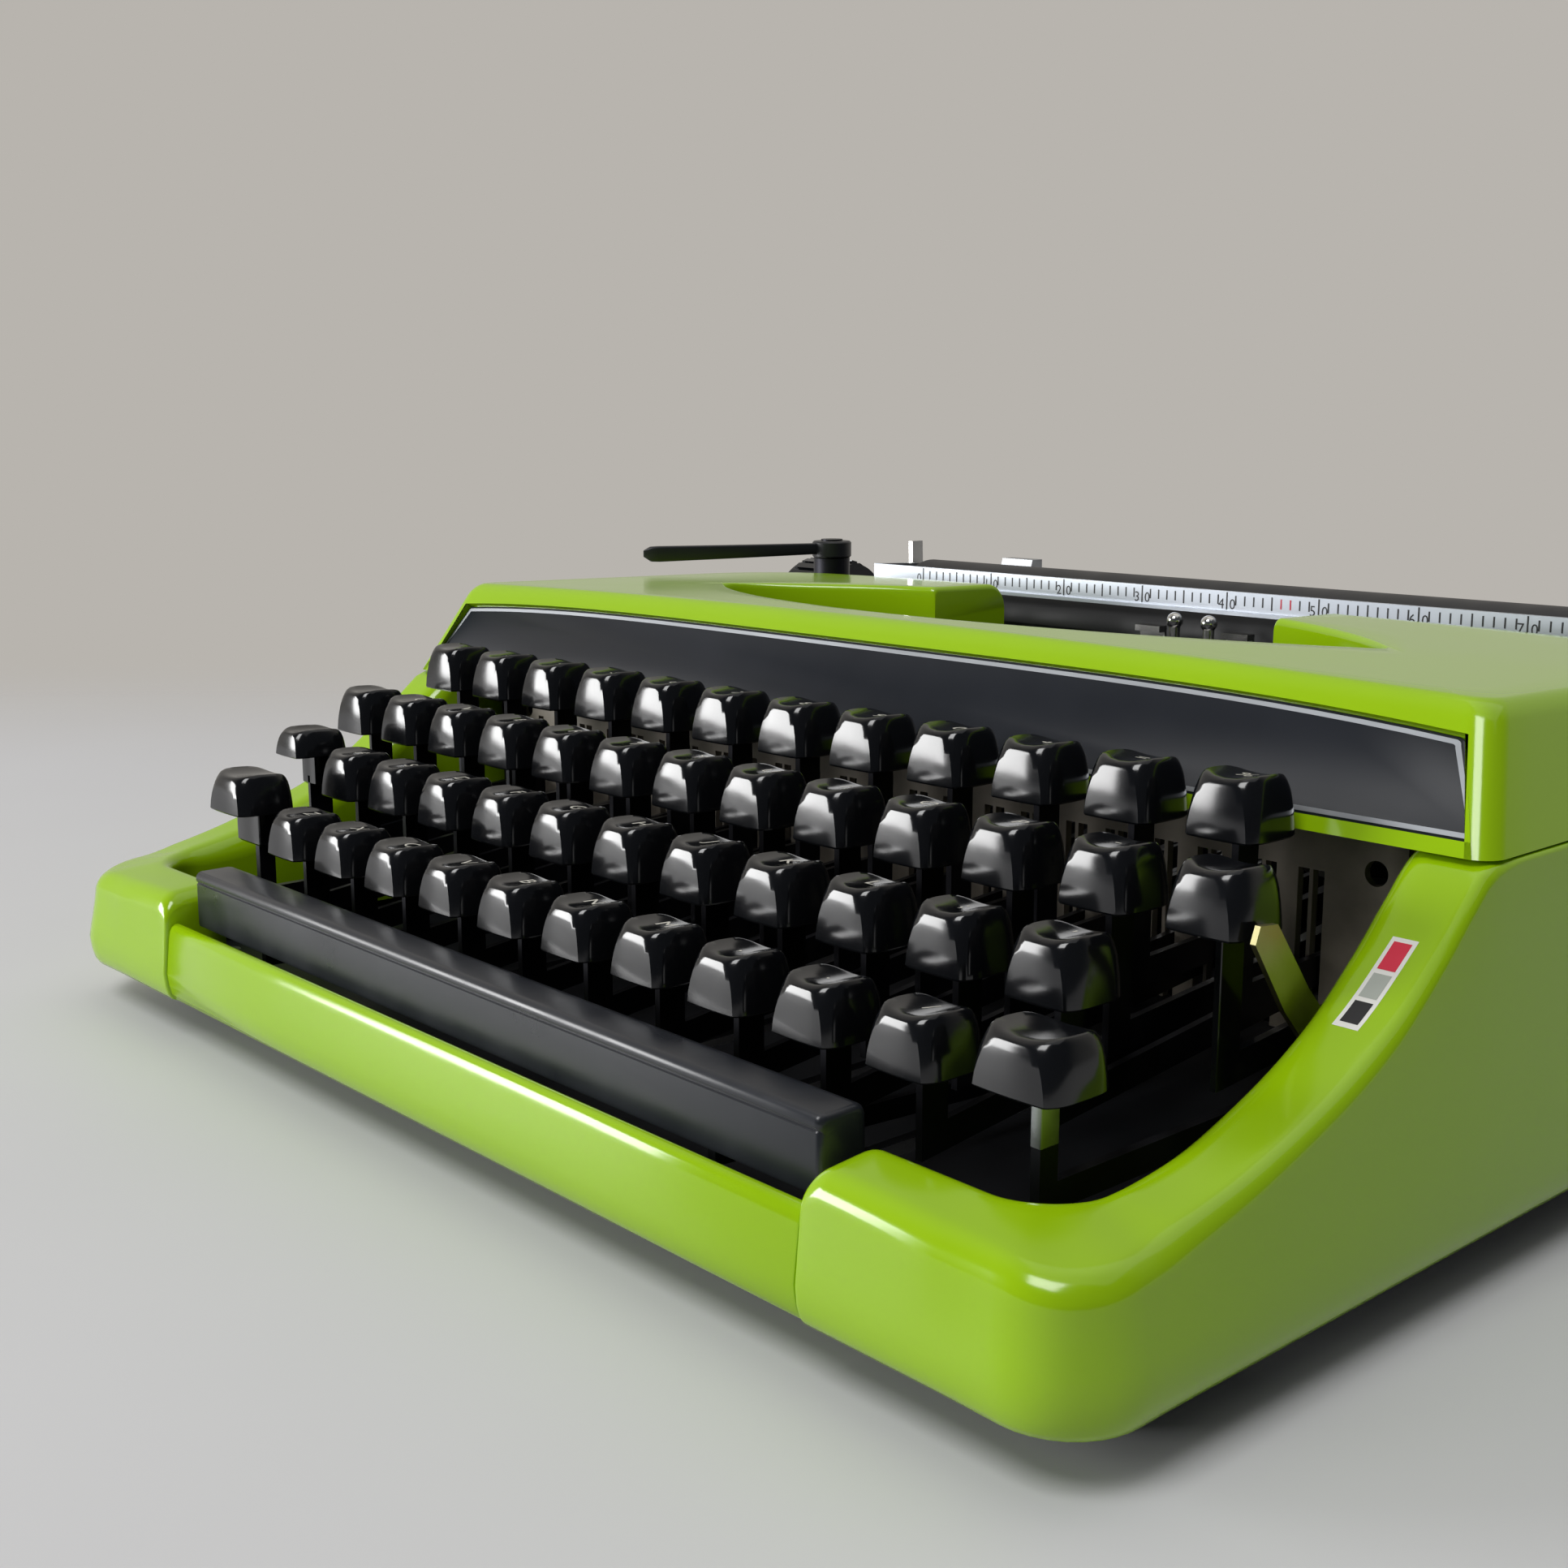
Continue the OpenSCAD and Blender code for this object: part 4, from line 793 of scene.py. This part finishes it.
# Carriage: a sheet steel frame on two rails, with pan, table, margin rack and small levers, all blackened,
# enamelled or plated and mostly hidden.
finish(blackened_steel, "carriage_frame", "paper_pan")
finish(black_enamel, "paper_table")
finish(zinc_plate, "margin_rack", "margin_stop_left", "margin_stop_right")
finish(nickel_plate, "paper_release_lever", "line_space_lever", "carriage_release_lever", "platen_shaft",
       "ratchet_wheel")
finish(zinc_plate, "paper_guide")

# Platen and feed roller: hard rubber moulded on steel and ground true. The platen turns on its shaft, with
# moulded knobs on both ends.
# Ground rubber: dark grey and matt, with faint rings from the wheel.
ground_rubber = surface("ground_platen_rubber", "#131416", "#1B1C1F", 12, (0.42, 0.55), 0.5, 0.01,
                        stretch=(1, 0.2, 0.2))
finish(ground_rubber, "platen", "feed_roller")
finish(black_abs, "knob_left", "knob_right")

# End covers of the carriage: black ABS boxes with softened edges, moulded like the caps and set over the
# frame's end plates.
finish(black_abs, "end_cover_left", "end_cover_right")
for side in ("end_cover_left", "end_cover_right"):
    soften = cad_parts[side].modifiers.new("softened_edges", "BEVEL")
    soften.width, soften.segments, soften.limit_method = 0.8 * MM, 3, "ANGLE"

# Paper bail: a rolled aluminium strip in front of the platen, satin anodised, with a printed scale of
# letter spaces, held by two arms on pivots.
# Satin anodising: a cool grey sheen, drawn out along the strip.
anodised = surface("satin_anodised_aluminium", "#A2A7AF", "#B2B7BF", 6, (0.36, 0.46), 0.3, 0.008,
                   stretch=(0.06, 1, 1), Metallic=1.0)
finish(anodised, "paper_bail")
SCALE_ZERO, SCALE_STEP, SCALE_LAST, RED_UNITS = -91, 2.395, 82, (46, 47)
STRIP_FACE, STRIP_LOW, STRIP_HIGH = 212.4, 78.4, 83.6
PRINT_Y, TICK_HALF = STRIP_FACE - 0.03, 0.19
FIGURE_SIZE, FIGURE_SHIFT, FIGURE_Z = 3.3, 1.5, STRIP_LOW + 2.2
marks, red_marks = [], []
for unit in range(SCALE_LAST + 1):
    x = SCALE_ZERO + unit * SCALE_STEP
    start, tall = (0.2, 4.0) if unit % 10 == 0 else (0.6, 3.0) if unit % 5 == 0 else (0.9, 2.2)
    top = STRIP_HIGH - start
    corners = ((-TICK_HALF, top - tall), (TICK_HALF, top - tall), (TICK_HALF, top), (-TICK_HALF, top))
    bar = [(x + dx, PRINT_Y, z) for dx, z in corners], [(0, 1, 2, 3)]
    (red_marks if unit in RED_UNITS else marks).append(bar)
    if unit % 10 == 0:
        figures = str(unit)
        for place, figure in enumerate(figures):
            points, faces = characters(figure, FIGURE_SIZE)
            shift = (place * 2 - 1) * FIGURE_SHIFT if len(figures) == 2 else -FIGURE_SHIFT
            marks.append(([(x + shift + px, PRINT_Y, FIGURE_Z + py) for px, py, _ in points], faces))
piece("scale_marks", together(*marks), black_ink, "bail", "panel_black")
piece("scale_red_marks", together(*red_marks), red_ink, "bail", "panel_black")

# Return lever: a black enamelled steel blade that stands on edge, slightly bowed, with a rounded finger
# end; it turns on a pin at the carriage's left end.
LEVER_PIVOT, LEVER_TIP, LEVER_LOW, LEVER_HIGH = (-128, 214), (-146, 162), 84.2, 88.8
LEVER_BOW, LEVER_HALF, LEVER_ROUND = 0.7, 1.35, 3
# radius and height of each turn of the hub
HUB_TURNS = ((3.1, LEVER_LOW), (5.0, LEVER_LOW), (5.4, 84.6), (5.4, 88.3), (5.0, 88.7), (3.1, LEVER_HIGH))
lever_run = math.hypot(LEVER_TIP[0] - LEVER_PIVOT[0], LEVER_TIP[1] - LEVER_PIVOT[1])
dir_x = (LEVER_TIP[0] - LEVER_PIVOT[0]) / lever_run
dir_y = (LEVER_TIP[1] - LEVER_PIVOT[1]) / lever_run
lever_rows = []
for share in spread(0.06, 1, 26):
    bow = LEVER_BOW * math.sin(math.pi * share)
    run = lever_run * share
    end = min(1, (1 - share) * lever_run / LEVER_ROUND)
    half = (LEVER_HALF - 0.25 * (1 - share)) * math.sqrt(max(0.02, 1 - (1 - end) ** 2))
    low = LEVER_LOW + 0.15 + 0.9 * (1 - share) + 1.5 * (1 - end) ** 2
    high = LEVER_HIGH - 0.15 - 0.5 * (1 - share) - 1.1 * (1 - end) ** 2
    middle = (low + high) / 2
    row = []
    for i in range(20):
        a = 2 * math.pi * i / 20
        c, s = math.cos(a), math.sin(a)
        side = half * math.copysign(abs(c) ** 0.35, c)
        up = (high - low) / 2 * math.copysign(abs(s) ** 0.35, s)
        row.append((LEVER_PIVOT[0] + dir_x * run - dir_y * (side + bow),
                    LEVER_PIVOT[1] + dir_y * run + dir_x * (side + bow), middle + up))
    lever_rows.append(row)
hub_rows = []
for r, z in HUB_TURNS:
    hub_rows.append([(LEVER_PIVOT[0] + r * math.cos(2 * math.pi * i / 32),
                      LEVER_PIVOT[1] + r * math.sin(2 * math.pi * i / 32), z) for i in range(32)])
hub = loft(hub_rows + hub_rows[:1], ends=False)
piece("return_lever_blade", together(loft(lever_rows), hub), black_enamel, "return", "black_metal",
      "return_lever")

# Stage: a plain pale floor and soft studio light from the front left and from above, with the camera
# where the photograph was taken.
floor_mesh = bpy.data.meshes.new("floor")
floor_mesh.from_pydata([(-6, -6, 0), (6, -6, 0), (6, 6, 0), (-6, 6, 0)], [], [(0, 1, 2, 3)])
floor = bpy.data.objects.new("floor", floor_mesh)
bpy.context.scene.collection.objects.link(floor)
# Pale matt laminate; away from the front it runs out softly, so that no edge shows against the backdrop.
laminate = surface("pale_matt_laminate", "#C9C9CB", "#CDCDCF", 120, (0.5, 0.58), 2, 0.01)
tree = laminate.node_tree
place = add(tree, "ShaderNodeTexCoord")
back = add(tree, "ShaderNodeVectorMath", {1: (-0.746, 0.666, 0)}, {0: (place, "Object")},
           operation="DOT_PRODUCT")
fade = add(tree, "ShaderNodeMapRange", {"From Min": 0.25, "From Max": 0.6}, {"Value": (back, "Value")},
           interpolation_type="SMOOTHSTEP")
far = add(tree, "ShaderNodeVectorMath", None, {0: (place, "Object")}, operation="LENGTH")
rim = add(tree, "ShaderNodeMapRange", {"From Min": 0.7, "From Max": 1.6}, {"Value": (far, "Value")},
          interpolation_type="SMOOTHSTEP")
runout = add(tree, "ShaderNodeMath", None, {0: (fade, "Result"), 1: (rim, "Result")},
             operation="MAXIMUM")
clear = add(tree, "ShaderNodeBsdfTransparent")
matt = tree.nodes["Principled BSDF"]
blend = add(tree, "ShaderNodeMixShader", None,
            {0: (runout, "Value"), 1: (matt, "BSDF"), 2: (clear, "BSDF")})
tree.links.new(blend.outputs["Shader"], tree.nodes["Material Output"].inputs["Surface"])
floor_mesh.materials.append(laminate)
floor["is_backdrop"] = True

world = bpy.data.worlds.new("studio")
bpy.context.scene.world = world
world.use_nodes = True
# The room: a pale wall behind the machine, dim in front of it; the camera sees the wall all over.
sky = world.node_tree
backdrop = sky.nodes["Background"]
place = add(sky, "ShaderNodeTexCoord")
back = add(sky, "ShaderNodeVectorMath", {1: (-0.7, 0.71, 0.1)}, {0: (place, "Generated")},
           operation="DOT_PRODUCT")
turn = add(sky, "ShaderNodeMapRange", {"From Min": -0.2, "From Max": 0.45}, {"Value": (back, "Value")},
           interpolation_type="SMOOTHSTEP")
path = add(sky, "ShaderNodeLightPath")
seen = add(sky, "ShaderNodeMath", None, {0: (turn, "Result"), 1: (path, "Is Camera Ray")},
           operation="MAXIMUM")
room = add(sky, "ShaderNodeMix", {"A": linear("#43464B"), "B": linear("#B8B4AE")},
           {"Factor": (seen, "Value")}, data_type="RGBA")
sky.links.new(room.outputs["Result"], backdrop.inputs["Color"])

for name, place, aim, size, power in (
        ("window_front_left", (-1.25, -1.3, 0.36), (0, 0, 0.2), 0.72, 25),
        ("soft_front", (0.3, -1.2, 1.8), (0, 0, 0.05), 0.9, 24),
        ("fill_above", (0.3, 0.2, 1.6), (0, 0, 0), 1.6, 4)):
    lamp = bpy.data.lights.new(name, "AREA")
    lamp.size, lamp.energy = size, power
    holder = bpy.data.objects.new(name, lamp)
    bpy.context.scene.collection.objects.link(holder)
    holder.location = place
    run = [a - b for a, b in zip(aim, place)]
    flat = math.hypot(run[0], run[1])
    holder.rotation_euler = (math.atan2(flat, -run[2]), 0, math.atan2(-run[0], run[1]))

camera = bpy.data.cameras.new("camera")
camera.lens, camera.sensor_width = 44.01, 36
camera.clip_start = 0.01
viewer = bpy.data.objects.new("camera", camera)
bpy.context.scene.collection.objects.link(viewer)
viewer.location = (0.2625, -0.2944, 0.1229)
viewer.rotation_euler = (math.radians(79.115), math.radians(0.085), math.radians(48.24))
bpy.context.scene.camera = viewer
bpy.context.scene.view_settings.view_transform = "Standard"

low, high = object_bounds()
